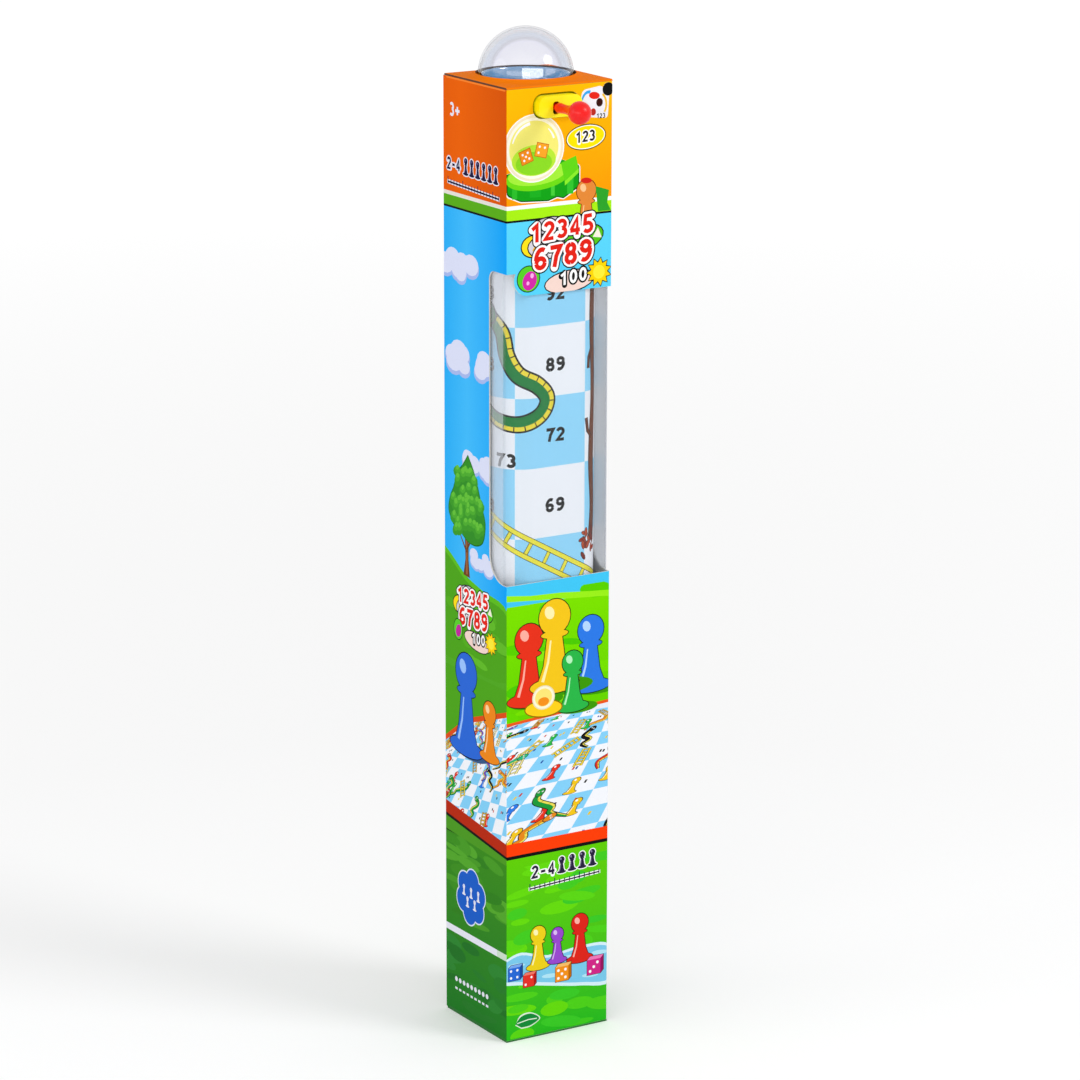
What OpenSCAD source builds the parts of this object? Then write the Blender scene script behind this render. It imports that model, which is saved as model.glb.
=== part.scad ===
// Snakes and ladders floor game in its shop carton: a rolled mat behind a wrap-round window, a dice popper
// under the lid with its dome and its lever outside, and the small pieces in a tray between them.

/* [Carton] */
// Outer side of the square carton
carton_w = 85; // [84:0.5:92]
// Thickness of the board
board_t = 1.2; // [1:0.1:1.5]
// Width of the glued seam flap inside the back left corner
seam_w = 14; // [8:1:20]

/* [Closures] */
// Reach of each dust flap from its fold
dust_reach = 24; // [16:1:26]
// Depth of the tuck that the lid pushes in behind the back wall
tuck_depth = 16; // [10:1:18]
// Slack between the tuck and the back wall
tuck_slack = 0.8; // [0.6:0.1:1]
// Clearance round the dome in the lid and the dust flaps
dome_hole_gap = 1.8; // [1.5:0.1:2.2]

/* [Window] */
// Height of the window's lower edge above the floor
window_z0 = 337; // [300:1:360]
// Distance from the top of the walls down to the window's upper edge
window_drop = 126.5; // [115:0.5:135]
// Reach of the window round each side wall
window_side = 23; // [16:1:30]
// Radius of the lower corners on the side walls
window_low_r = 19; // [8:1:20]
// Radius of the upper corners on the side walls
window_high_r = 6.5; // [4:0.5:8]
// Depth that the printed tab hangs into the window from above
tab_depth = 16; // [10:1:20]
// Radius of the round end of the tab
tab_r = 11; // [8:0.5:13]
// Distance from the left corner to the middle of the tab's round end
tab_inset = 17; // [15:0.5:22]
// Thickness of the clear window film
film_t = 0.3; // [0.2:0.05:0.4]
// Margin of film glued round the window
film_margin = 9; // [6:1:12]

/* [Seal] */
// Radius of the round black seal on the front wall
seal_r = 4.6; // [4:0.1:6]
// Thickness of the seal
seal_t = 0.2; // [0.1:0.05:0.3]
// Distance from the right edge to the middle of the seal
seal_inset = 3.8; // [2.5:0.1:4.2]
// Distance from the top edge to the middle of the seal
seal_drop = 5.2; // [4.5:0.1:7]

/* [Mat] */
// Width of the mat, which is the length of the roll
mat_l = 600; // [590:1:605]
// Thickness of the mat
mat_t = 0.8; // [0.5:0.05:1]
// Gap between one turn of the roll and the next
mat_gap = 0.5; // [0.45:0.05:0.7]
// Turns in the roll
mat_turns = 2; // [1:1:4]
// Radius of the roll's rounded corners
mat_corner_r = 22; // [16:0.5:26]

/* [Popper] */
// Room between the carton's front wall and the housing
popper_front_gap = 6.3; // [5.5:0.1:7.5]
// Radius of the housing's upright corners
popper_corner_r = 10; // [6:0.5:12]
// Wall of the housing
popper_wall = 1.8; // [1.5:0.1:2]
// Distance from the housing's side to the clear dome
dome_inset = 4; // [3.75:0.25:5]
// Wall of the dome
dome_t = 1.2; // [1:0.1:1.5]
// Height of the dome's centre above the top of the carton's walls
dome_rise = 2.5; // [1:0.25:3]
// Gap between the dome's wall and the dice well
well_side_gap = 1.8; // [1:0.1:3]
// Wall of the dice well
well_t = 1; // [0.8:0.1:1.2]
// Height of the well's rim above the top of the carton's walls
well_rise = 3.2; // [1:0.1:4]
// Depth of the well from its rim to its floor
well_depth = 20.2; // [16:0.1:21]
// Side of the die
die_w = 12; // [10:0.5:14]

/* [Lever] */
// Width of the lever housing that passes through the front wall
boss_w = 34.5; // [30:0.5:36]
// Height of the lever housing
boss_h = 14.7; // [13.5:0.1:15.5]
// Distance that the lever housing stands out of the front wall
boss_out = 6; // [4:0.5:9]
// Distance from the carton's middle line to the middle of the lever housing, to the left
boss_left = 3; // [1:0.5:4]
// Distance from the top of the carton's walls down to the middle of the lever housing
boss_drop = 13.1; // [12.5:0.1:13.6]
// Distance from the carton's middle line to the lever, to the left
lever_left = 6.5; // [5:0.5:8]
// Radius of the ball at the lever's end
ball_r = 8; // [6:0.5:9]
// Distance from the lever housing's face to the middle of the ball
ball_out = 29.5; // [24:0.5:36]
// Radius of the pin that the lever turns on
pin_r = 1.5; // [1.3:0.1:1.7]

/* [Pieces] */
// Height of the tray between the mat and the popper
tray_h = 34.15; // [33:0.05:38]
// Height of a playing pawn
pawn_h = 25; // [20:0.5:28]
// Radius of a pawn's foot
pawn_r = 7; // [6:0.25:8]
// Room round the folded rule leaflet in the tray
leaflet_gap = 7.8; // [3:0.1:14]

/* [Hidden] */
$fn = 64;

// Clearances: folds that lie on each other, pieces packed in the carton, running fits, and the cut overrun
fold_gap = 0.15;
seat_gap = 0.3;
run_gap = 0.05;
cut_over = 1;

// The pieces stand on each other: mat, tray, popper. The popper's height is that of its well, its plunger
// and the lever's paddle below it, and the carton's height is that of the whole pile.
base_t = 2.4;
flange_t = 1.5;
foot_t = 1.5;
foot_drop = 15.5;
nose_r = 3;
nose_drop = 0.7;
paddle_t = 3;
paddle_floor_gap = 1;
popper_depth = well_depth - well_rise + flange_t + foot_drop + foot_t + nose_drop + nose_r + seat_gap
    + paddle_t + paddle_floor_gap;
sleeve_z0 = board_t + fold_gap;
roll_z0 = sleeve_z0 + board_t + seat_gap;
tray_z0 = roll_z0 + mat_l + seat_gap;
tray_z1 = tray_z0 + tray_h;
housing_z0 = tray_z1 + seat_gap + base_t;
carton_h = housing_z0 + popper_depth;

// The carton's faces
half = carton_w / 2;
inner_half = half - board_t;
lid_z0 = carton_h + fold_gap;
edge_r = board_t;
dust_z0 = carton_h - board_t;

// The lid ends inside the back wall, and its tuck goes down there
tuck_y1 = inner_half - tuck_slack;
tuck_y0 = tuck_y1 - board_t;
lid_side_gap = 0.2;
tuck_side_gap = 2.2;
tuck_taper = 4;
dust_back_gap = 1.8;
dust_y0 = -inner_half + 2 * fold_gap;
dust_y1 = tuck_y0 - dust_back_gap;

// The housing fills the carton from behind the lever's room to the tuck, and the dome and the well sit in it
popper_y0 = -inner_half + popper_front_gap;
popper_w = tuck_y0 - seat_gap - popper_y0;
popper_back = popper_y0 + popper_w / 2;
dome_r = popper_w / 2 - dome_inset;
dome_hole_r = dome_r + dome_hole_gap;
well_r = dome_r - dome_t - well_side_gap - well_t;

// The lever's cut-out in the front wall
boss_hole_gap = 1.3;
boss_x = -boss_left;
boss_z = carton_h - boss_drop;
boss_r = 6;
boss_face_y = -half - boss_out;
boss_wall = 2;

// The window and its film
window_z1 = carton_h - window_drop;
film_z0 = window_z0 - film_margin;
film_z1 = window_z1 + film_margin;
film_y1 = -half + window_side + film_margin;

// The mat's roll fills the carton from the film to the tuck
roll_y0 = -inner_half + film_t + seat_gap;
roll_y1 = tuck_y0 - seat_gap;
roll_half = (roll_y1 - roll_y0) / 2;
turn_pitch = mat_t + mat_gap;
corner_steps = 8;
roll_start = 16;
roll_end = 13;

// The popper, from its deck down to its base
housing_z1 = carton_h - board_t - 2 * seat_gap;
housing_h = housing_z1 - housing_z0;
deck_t = 2;
flange_gap = 0.2;
dome_flange_z1 = housing_z1 - deck_t;
well_flange_z1 = dome_flange_z1 - flange_t;
well_flange_z0 = well_flange_z1 - flange_t;
popper_in = popper_w / 2 - popper_wall;
dome_z = carton_h + dome_rise;
well_z1 = carton_h + well_rise;
well_floor_z1 = well_z1 - well_depth;
well_floor_z0 = well_floor_z1 - flange_t;
post_r = 3;
post_inset = 7.2;
post_at = popper_in - post_inset;
screw_boss_h = 12;
screw_at_x = popper_in - post_r + run_gap;
screw_at_y = 0.24 * popper_w;
screw_r = 1.2;
screw_head_r = 2.4;
screw_head_t = 1.1;
screw_l = 8;
screw_slot_w = 0.6;

// The plunger that throws the die: plate, stem, foot and the spring round the stem
plate_t = 1.5;
plate_gap = 1;
stem_r = 3;
spigot_r = 1.5;
spigot_l = 1.2;
foot_r = 8;
foot_z1 = well_floor_z0 - foot_drop;
nose_z = foot_z1 - foot_t - nose_drop;
spring_r = 5;
wire_r = 0.4;
spring_turns = 6;
ring_steps = 20;
wire_sides = 6;
spring_end_gap = 0.1;

// The lever: a bell crank on its pin, with the ball outside and the paddle under the plunger's nose
pin_drop = 0.4;
pin_y = -inner_half + seat_gap;
pin_z = boss_z - pin_drop;
lever_x = -lever_left;
hub_r = 3.2;
hub_l = 9;
neck_r = 2.2;
root_r = 3.6;
waist_r = 3.1;
arm_w = 8;
arm_t = 2.8;
arm_gap = 0.6;
arm_y0 = popper_y0 + popper_wall + arm_gap;
paddle_z1 = nose_z - nose_r - seat_gap;
paddle_reach = 9;
root_gap = 0.7;
slot_side_gap = 0.5;
slot_w = 2 * (neck_r + slot_side_gap);
slot_h = 4 * neck_r;
slot_drop = 0.5;
pin_seat = 1.2;

// The tray between the mat and the popper
tray_side_gap = 1.3;
tray_half = inner_half - tray_side_gap;
tray_flange = 12;
leaflet_t = 0.8;
leaflet_w = 2 * (tray_half - board_t - leaflet_gap);
pieces_z0 = tray_z0 + board_t + seat_gap + leaflet_t + seat_gap;
pawn_share = 0.2;
die_corner_r = 1.6;
pip_r = 1.1;
pip_share = 0.25;

// A square outline with round corners, centred on the origin
module round_square(w, r) {
    c = w / 2 - r;
    union() {
        square([w, 2 * c], center = true);
        square([2 * c, w], center = true);
        for (sx = [-1, 1], sy = [-1, 1]) {
            translate([sx * c, sy * c])
                circle(r = r);
        }
    }
}

// A rectangle with round corners, centred on the origin
module round_rect(w, h, r) {
    union() {
        square([w, h - 2 * r], center = true);
        square([w - 2 * r, h], center = true);
        for (sx = [-1, 1], sz = [-1, 1]) {
            translate([sx * (w / 2 - r), sz * (h / 2 - r)])
                circle(r = r);
        }
    }
}

// Lays an outline drawn in X and Z along Y, from y0 to y1
module along_y(y0, y1) {
    translate([0, y1, 0])
        rotate([90, 0, 0])
            linear_extrude(height = y1 - y0)
                children();
}

// Lays an outline drawn in Y and Z along X, from x0 to x1
module along_x(x0, x1) {
    translate([x0, 0, 0])
        rotate([90, 0, 90])
            linear_extrude(height = x1 - x0)
                children();
}

// A block between two corners
module block(low, high) {
    translate(low)
        cube([high[0] - low[0], high[1] - low[1], high[2] - low[2]]);
}

// The carton's walls

// The window on the front: the full width, less the tab that hangs from above
module front_window_outline() {
    difference() {
        translate([-half - cut_over, window_z0])
            square([carton_w + 2 * cut_over, window_z1 - window_z0]);
        translate([-half + tab_inset, window_z1 - tab_depth + tab_r])
            circle(r = tab_r);
        translate([-half + tab_inset, window_z1 - tab_depth])
            square([carton_w, tab_depth + cut_over]);
    }
}

// The window on a side wall, drawn in Y and Z, with its upper edge at z1
module side_window_outline(z1) {
    y1 = -half + window_side;
    difference() {
        translate([-half - cut_over, window_z0])
            square([window_side + cut_over, z1 - window_z0]);
        translate([y1 - window_low_r, window_z0])
            corner_waste(window_low_r, -1);
        translate([y1 - window_high_r, z1])
            corner_waste(window_high_r, 1);
    }
}

// What a round corner of radius r leaves of its square, for a corner below (-1) or above (1)
module corner_waste(r, side) {
    difference() {
        translate([0, side < 0 ? -cut_over : -r])
            square([r + cut_over, r + cut_over]);
        translate([0, -side * r])
            circle(r = r);
    }
}

// The rests of the dust flaps in the side walls' ends, at the top
module dust_rests() {
    for (side = [-1, 1]) {
        block([side < 0 ? -half - cut_over : inner_half, dust_y0 - fold_gap, dust_z0],
              [side < 0 ? -inner_half : half + cut_over, dust_y1 + fold_gap, carton_h + cut_over]);
    }
}

module carton_sleeve() {
    color("deepskyblue") {
        difference() {
            translate([0, 0, sleeve_z0])
                linear_extrude(height = carton_h - sleeve_z0)
                    difference() {
                        round_square(carton_w, edge_r);
                        square(2 * inner_half, center = true);
                    }
            along_y(-half - cut_over, -inner_half + cut_over / 2)
                front_window_outline();
            along_x(-half - cut_over, -inner_half)
                side_window_outline(window_z1);
            along_x(inner_half, half + cut_over)
                side_window_outline(window_z1 - tab_depth);
            along_y(-half - cut_over, -inner_half + cut_over / 2)
                translate([boss_x, boss_z])
                    round_rect(boss_w + 2 * boss_hole_gap, boss_h + 2 * boss_hole_gap, boss_r + boss_hole_gap);
            dust_rests();
            translate([0, 0, carton_h + sleeve_z0])
                mirror([0, 0, 1])
                    dust_rests();
        }
        seam_flap();
    }
}

// The seam flap is glued to the inside of the back wall
module seam_flap() {
    flap_t = board_t / 2;
    block([-inner_half, inner_half - flap_t, sleeve_z0 + tuck_depth + board_t + seat_gap],
          [-inner_half + seam_w, inner_half + flap_t, carton_h - tuck_depth - board_t - seat_gap]);
}

// The closures

// A closing panel that lies on the walls' ends, with or without the hole for the dome
module closing_panel(with_hole) {
    difference() {
        block([-half + lid_side_gap, -half, lid_z0], [half - lid_side_gap, tuck_y1, lid_z0 + board_t]);
        if (with_hole) {
            translate([0, popper_back, lid_z0 - cut_over])
                cylinder(r = dome_hole_r, h = board_t + 2 * cut_over);
        }
    }
}

// The tuck hangs from the panel's back edge, with slanted ends
module closing_tuck() {
    w = inner_half - tuck_side_gap;
    along_y(tuck_y0, tuck_y1)
        polygon([
            [-w, lid_z0], [w, lid_z0], [w, lid_z0 - tuck_depth / 2],
            [w - tuck_taper, lid_z0 - tuck_depth], [tuck_taper - w, lid_z0 - tuck_depth],
            [-w, lid_z0 - tuck_depth / 2]
        ]);
}

// The left dust flap: its front corner is cut at 45 degrees, and it goes round the dome
module left_dust_flap(with_notch) {
    front = dust_y0;
    difference() {
        translate([0, 0, dust_z0])
            linear_extrude(height = board_t)
                polygon([
                    [-half, front], [-half + board_t, front],
                    [-half + dust_reach, front + dust_reach - board_t],
                    [-half + dust_reach, dust_y1], [-half, dust_y1]
                ]);
        if (with_notch) {
            translate([0, popper_back, dust_z0 - cut_over])
                cylinder(r = dome_hole_r, h = board_t + 2 * cut_over);
        }
    }
}

// The carton's lower end is closed like its upper end, turned over, with nothing to let through
module at_the_bottom() {
    translate([0, 0, carton_h + sleeve_z0])
        mirror([0, 0, 1])
            children();
}

module top_lid() {
    color("darkorange")
        closing_panel(true);
}

module lid_tuck() {
    color("orange")
        closing_tuck();
}

module dust_flap_left() {
    color("orangered")
        left_dust_flap(true);
}

module dust_flap_right() {
    color("orangered")
        mirror([1, 0, 0])
            left_dust_flap(true);
}

module bottom_panel() {
    color("limegreen")
        at_the_bottom()
            closing_panel(false);
}

module bottom_tuck() {
    color("limegreen")
        at_the_bottom()
            closing_tuck();
}

module bottom_flap_left() {
    color("forestgreen")
        at_the_bottom()
            left_dust_flap(false);
}

module bottom_flap_right() {
    color("forestgreen")
        at_the_bottom()
            mirror([1, 0, 0])
                left_dust_flap(false);
}

// The film is one sheet, folded round the two front corners inside the walls
module window_film() {
    color([0.8, 0.9, 1, 0.4])
        translate([0, 0, film_z0])
            linear_extrude(height = film_z1 - film_z0)
                difference() {
                    translate([-inner_half, -inner_half])
                        square([2 * inner_half, inner_half + film_y1]);
                    translate([-inner_half + film_t, -inner_half + film_t])
                        square([2 * (inner_half - film_t), inner_half + film_y1]);
                }
}

// The round seal lies on the front wall and turns a little way round the right corner
module seal_dot() {
    dot_x = half - seal_inset;
    dot_z = carton_h - seal_drop;
    color("black") {
        along_y(-half - seal_t, -half)
            intersection() {
                translate([dot_x, dot_z])
                    circle(r = seal_r);
                translate([dot_x - seal_r, dot_z - seal_r])
                    square([seal_r + seal_inset + seal_t / 2, 2 * seal_r]);
            }
        along_x(half, half + seal_t)
            intersection() {
                translate([-half - seal_inset, dot_z])
                    circle(r = seal_r);
                translate([-half - seal_t, dot_z - seal_r])
                    square([seal_r, 2 * seal_r]);
            }
    }
}

// The mat

// The distance from the roll's middle to its flat sides once it has turned by a degrees
function roll_side(a) = roll_half - turn_pitch * a / 360;

// A point of the roll whose surface faces a degrees, on the corner that starts at the quarter q,
// and depth below the outer surface. The roll starts on its right side, and turns by the front inwards.
function roll_point(a, q, depth) =
    let (c = sqrt(2) * (roll_side(a) - mat_corner_r), mid = 90 * q + 45)
    [c * cos(mid) + (mat_corner_r - depth) * cos(a), -c * sin(mid) - (mat_corner_r - depth) * sin(a)];

function roll_path(depth) = [
    [roll_side(0) - depth, roll_start],
    for (q = [0 : 4 * mat_turns - 1], i = [0 : corner_steps])
        roll_point(90 * (q + i / corner_steps), q, depth),
    [roll_side(360 * mat_turns) - depth, -roll_end]
];

function backwards(list) = [for (i = [len(list) - 1 : -1 : 0]) list[i]];

module play_mat() {
    echo(least_gap_of_the_roll = turn_pitch - mat_t);
    color("lightskyblue")
        translate([0, 0, roll_z0])
            linear_extrude(height = mat_l)
                translate([0, (roll_y0 + roll_y1) / 2])
                    polygon(concat(roll_path(0), backwards(roll_path(mat_t))));
}

// The tray, the leaflet and the pawns

// The tray is folded card: a floor, four walls and two flanges that carry the popper
module spacer_tray() {
    color("burlywood")
        difference() {
            translate([0, 0, tray_z0])
                linear_extrude(height = tray_z1 - tray_z0)
                    square(2 * tray_half, center = true);
            block([-tray_half + board_t, -tray_half + board_t, tray_z0 + board_t],
                  [tray_half - board_t, tray_half - board_t, tray_z1 - board_t]);
            block([-tray_half + tray_flange, -tray_half + board_t, tray_z1 - board_t - cut_over],
                  [tray_half - tray_flange, tray_half - board_t, tray_z1 + cut_over]);
        }
}

module rule_leaflet() {
    low = tray_z0 + board_t + seat_gap;
    color("white")
        block([-leaflet_w / 2, -leaflet_w / 2, low], [leaflet_w / 2, leaflet_w / 2, low + leaflet_t]);
}

// A pawn: a round foot, a tapered body with a collar, and a ball for its head
module pawn(x, y) {
    head_r = 0.62 * pawn_r;
    neck_h = pawn_h - 2 * head_r;
    foot_h = 0.12 * pawn_h;
    translate([x, y, pieces_z0]) {
        cylinder(r = pawn_r, h = foot_h);
        translate([0, 0, foot_h])
            cylinder(r1 = 0.86 * pawn_r, r2 = 0.34 * pawn_r, h = neck_h - foot_h + head_r / 4);
        translate([0, 0, neck_h - foot_h / 2])
            cylinder(r = 0.56 * pawn_r, h = foot_h / 2);
        translate([0, 0, pawn_h - head_r])
            sphere(r = head_r);
    }
}

pawn_at = pawn_share * carton_w;

module pawn_red() {
    color("red")
        pawn(-pawn_at, -pawn_at);
}

module pawn_yellow() {
    color("gold")
        pawn(pawn_at, -pawn_at);
}

module pawn_green() {
    color("green")
        pawn(-pawn_at, pawn_at);
}

module pawn_blue() {
    color("royalblue")
        pawn(pawn_at, pawn_at);
}

// The popper

module at_popper() {
    translate([0, popper_back, 0])
        children();
}

// The places of the four screws
module at_screws() {
    for (sx = [-1, 1], sy = [-1, 1]) {
        translate([sx * screw_at_x, sy * screw_at_y, 0])
            children();
    }
}

// The base closes the housing from below, and its posts press the well and the dome against the deck
module popper_base() {
    color("gold")
        at_popper() {
            difference() {
                translate([0, 0, housing_z0 - base_t])
                    linear_extrude(height = base_t)
                        round_square(popper_w, popper_corner_r);
                at_screws() {
                    translate([0, 0, housing_z0 - base_t - cut_over])
                        cylinder(r = screw_r + run_gap, h = base_t + 2 * cut_over);
                    translate([0, 0, housing_z0 - base_t - cut_over])
                        cylinder(r = screw_head_r + 2 * run_gap, h = screw_head_t + cut_over);
                }
            }
            for (sx = [-1, 1], sy = [-1, 1]) {
                translate([sx * post_at, sy * post_at, housing_z0 - base_t / 2])
                    cylinder(r = post_r, h = well_flange_z0 - housing_z0 + base_t / 2);
            }
        }
}

module base_screws() {
    color("silver")
        at_popper()
            at_screws()
                difference() {
                    translate([0, 0, housing_z0 - base_t])
                        union() {
                            cylinder(r = screw_head_r, h = screw_head_t);
                            cylinder(r = screw_r, h = screw_l);
                        }
                    for (turn = [0, 90]) {
                        translate([0, 0, housing_z0 - base_t])
                            rotate([0, 0, turn])
                                cube([1.4 * screw_head_r, screw_slot_w, screw_head_t], center = true);
                    }
                }
}

// The housing: deck, walls, screw bosses, and the hollow lever housing on its front
module popper_housing() {
    front = popper_y0;
    color("yellow")
        difference() {
            union() {
                at_popper() {
                    difference() {
                        translate([0, 0, housing_z0])
                            linear_extrude(height = housing_h)
                                round_square(popper_w, popper_corner_r);
                        translate([0, 0, housing_z0 - cut_over])
                            linear_extrude(height = housing_h - deck_t + cut_over)
                                round_square(2 * popper_in, popper_corner_r - popper_wall);
                    }
                    at_screws()
                        translate([0, 0, housing_z0])
                            cylinder(r = post_r, h = screw_boss_h);
                }
                along_y(boss_face_y, front + popper_wall / 2)
                    translate([boss_x, boss_z])
                        round_rect(boss_w, boss_h, boss_r);
            }
            at_popper()
                translate([0, 0, dome_flange_z1 - cut_over])
                    cylinder(r = dome_r + seat_gap, h = deck_t + 2 * cut_over);
            along_y(boss_face_y + boss_wall, front + popper_wall + cut_over)
                translate([boss_x, boss_z])
                    round_rect(boss_w - 2 * boss_wall, boss_h - 2 * boss_wall, boss_r - boss_wall);
            along_y(boss_face_y - cut_over, boss_face_y + boss_wall + cut_over)
                translate([lever_x, pin_z - slot_drop])
                    round_rect(slot_w, slot_h, neck_r);
            at_pin(pin_seat)
                cylinder(r = pin_r, h = boss_w - 2 * boss_wall + 2 * pin_seat);
            at_popper()
                at_screws()
                    translate([0, 0, housing_z0 - cut_over])
                        cylinder(r = screw_r, h = screw_l - base_t + 2 * cut_over);
        }
}

// Lays a shape drawn up Z along the pin, starting the given depth inside the lever housing's left wall
module at_pin(depth) {
    translate([boss_x - boss_w / 2 + boss_wall - depth, pin_y, pin_z])
        rotate([0, 90, 0])
            children();
}

module lever_pin() {
    color("silver")
        at_pin(pin_seat)
            cylinder(r = pin_r, h = boss_w - 2 * boss_wall + 2 * pin_seat);
}

// The dome: half a ball on a short skirt, with the flange that the deck holds down
module popper_dome() {
    skirt_h = dome_z - well_flange_z1;
    color([0.85, 0.9, 0.95, 0.4])
        at_popper()
            difference() {
                union() {
                    translate([0, 0, dome_z])
                        intersection() {
                            sphere(r = dome_r, $fn = 96);
                            cylinder(r = dome_r + cut_over, h = dome_r + cut_over);
                        }
                    translate([0, 0, well_flange_z1])
                        cylinder(r = dome_r, h = skirt_h, $fn = 96);
                    translate([0, 0, well_flange_z1])
                        cylinder(r = popper_in - flange_gap, h = flange_t, $fn = 96);
                }
                translate([0, 0, dome_z])
                    intersection() {
                        sphere(r = dome_r - dome_t, $fn = 96);
                        cylinder(r = dome_r, h = dome_r);
                    }
                translate([0, 0, well_flange_z1 - cut_over])
                    cylinder(r = dome_r - dome_t, h = skirt_h + cut_over, $fn = 96);
            }
}

// The dice well: a round cup with a square flange, and a bore for the plunger's stem
module dice_well() {
    flange_w = 2 * (popper_in - 5 * flange_gap);
    color("steelblue")
        at_popper()
            difference() {
                union() {
                    translate([0, 0, well_floor_z0])
                        cylinder(r = well_r + well_t, h = well_z1 - well_floor_z0);
                    translate([0, 0, well_flange_z0])
                        linear_extrude(height = flange_t)
                            round_square(flange_w, popper_corner_r - popper_wall);
                }
                translate([0, 0, well_floor_z1])
                    cylinder(r = well_r, h = well_depth + cut_over);
                translate([0, 0, well_floor_z0 - cut_over])
                    cylinder(r = stem_r + run_gap, h = flange_t + 2 * cut_over);
            }
}

// The plate that throws the die, with the stem that runs in the well's floor
module pop_plate() {
    color("white")
        at_popper() {
            translate([0, 0, well_floor_z1])
                cylinder(r = well_r - plate_gap, h = plate_t);
            translate([0, 0, foot_z1])
                cylinder(r = stem_r, h = well_floor_z1 - foot_z1 + plate_t / 2);
            translate([0, 0, foot_z1 - spigot_l])
                cylinder(r = spigot_r, h = spigot_l + plate_t);
        }
}

// The foot is pushed on the stem's spigot, carries the spring, and has the round nose for the lever
module plunger_foot() {
    color("ivory")
        at_popper()
            difference() {
                union() {
                    translate([0, 0, foot_z1 - foot_t])
                        cylinder(r = foot_r, h = foot_t);
                    translate([0, 0, nose_z])
                        cylinder(r = nose_r, h = foot_z1 - nose_z);
                    translate([0, 0, nose_z])
                        intersection() {
                            sphere(r = nose_r);
                            translate([0, 0, -nose_r])
                                cylinder(r = nose_r + cut_over, h = nose_r + nose_drop / 2);
                        }
                }
                translate([0, 0, foot_z1 - spigot_l])
                    cylinder(r = spigot_r + run_gap, h = spigot_l + cut_over);
            }
}

// The spring: one wire wound round the stem between the foot and the well's floor
spring_low = foot_z1 + wire_r + spring_end_gap;
spring_rise = foot_drop - 2 * (wire_r + spring_end_gap);
spring_steps = spring_turns * ring_steps;

function wire_point(i, j) =
    let (turn = 360 * i / ring_steps, r = spring_r + wire_r * cos(360 * j / wire_sides))
    [r * cos(turn), r * sin(turn),
     spring_low + spring_rise * i / spring_steps + wire_r * sin(360 * j / wire_sides)];

module return_spring() {
    rings = spring_steps + 1;
    echo(least_gap_of_the_spring = spring_rise / spring_turns - 2 * wire_r);
    color("silver")
        at_popper()
            polyhedron(
                points = [for (i = [0 : rings - 1], j = [0 : wire_sides - 1]) wire_point(i, j)],
                faces = concat(
                    [[for (j = [0 : wire_sides - 1]) j]],
                    [for (i = [0 : rings - 2], j = [0 : wire_sides - 1], side = [0, 1])
                        let (a = i * wire_sides + j, b = i * wire_sides + (j + 1) % wire_sides)
                        side == 0 ? [a, a + wire_sides, b + wire_sides] : [a, b + wire_sides, b]],
                    [[for (j = [wire_sides - 1 : -1 : 0]) (rings - 1) * wire_sides + j]]
                )
            );
}

// Half of the lever's outline, from the pin out: neck, rounded root, waist and ball
module lever_profile(root, ball) {
    intersection() {
        union() {
            translate([0, root])
                circle(r = root_r);
            translate([0, ball])
                circle(r = ball_r);
            polygon([
                [0, 0], [neck_r, 0], [neck_r, root], [0.98 * root_r, root],
                [waist_r, root + (ball - root) / 3], [0.78 * ball_r, ball - 0.6 * ball_r], [0, ball]
            ]);
        }
        square([ball_r, ball + ball_r]);
    }
}

// The lever: hub, the stem and ball outside, and the bent arm that lifts the plunger
module press_lever() {
    face = pin_y - boss_face_y;
    ball = face + ball_out;
    root = face + root_r + root_gap;
    paddle_y1 = popper_back + paddle_reach;
    arm_x0 = lever_x - arm_w / 2;
    color("red")
        difference() {
            union() {
                translate([lever_x - hub_l / 2, pin_y, pin_z])
                    rotate([0, 90, 0])
                        cylinder(r = hub_r, h = hub_l);
                translate([lever_x, pin_y, pin_z])
                    rotate([90, 0, 0])
                        rotate_extrude()
                            lever_profile(root, ball);
                block([arm_x0, pin_y, pin_z - arm_t / 2], [arm_x0 + arm_w, arm_y0 + arm_t, pin_z + arm_t / 2]);
                block([arm_x0, arm_y0, paddle_z1 - paddle_t], [arm_x0 + arm_w, arm_y0 + arm_t, pin_z + arm_t / 2]);
                block([arm_x0, arm_y0, paddle_z1 - paddle_t], [arm_x0 + arm_w, paddle_y1, paddle_z1]);
                block([arm_x0, popper_back - paddle_reach, paddle_z1 - paddle_t],
                      [paddle_reach, paddle_y1, paddle_z1]);
            }
            translate([lever_x - hub_l / 2 - cut_over, pin_y, pin_z])
                rotate([0, 90, 0])
                    cylinder(r = pin_r + run_gap, h = hub_l + 2 * cut_over);
        }
}

// The die: a cube with its corners rounded off by a ball, and pips drilled in its faces
die_x = 0.3 * die_w;
die_y = popper_back + 0.4 * die_w;
die_z = well_floor_z1 + plate_t + die_w / 2 + run_gap;
pip_place_shares = [
    [[0, 0]],
    [[-1, -1], [1, 1]],
    [[-1, -1], [0, 0], [1, 1]],
    [[-1, -1], [1, 1], [-1, 1], [1, -1]],
    [[-1, -1], [1, 1], [-1, 1], [1, -1], [0, 0]],
    [[-1, -1], [1, 1], [-1, 1], [1, -1], [-1, 0], [1, 0]]
];
pip_face_turns = [[0, 0, 0], [90, 0, 0], [0, 90, 0], [0, -90, 0], [-90, 0, 0], [180, 0, 0]];

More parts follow.
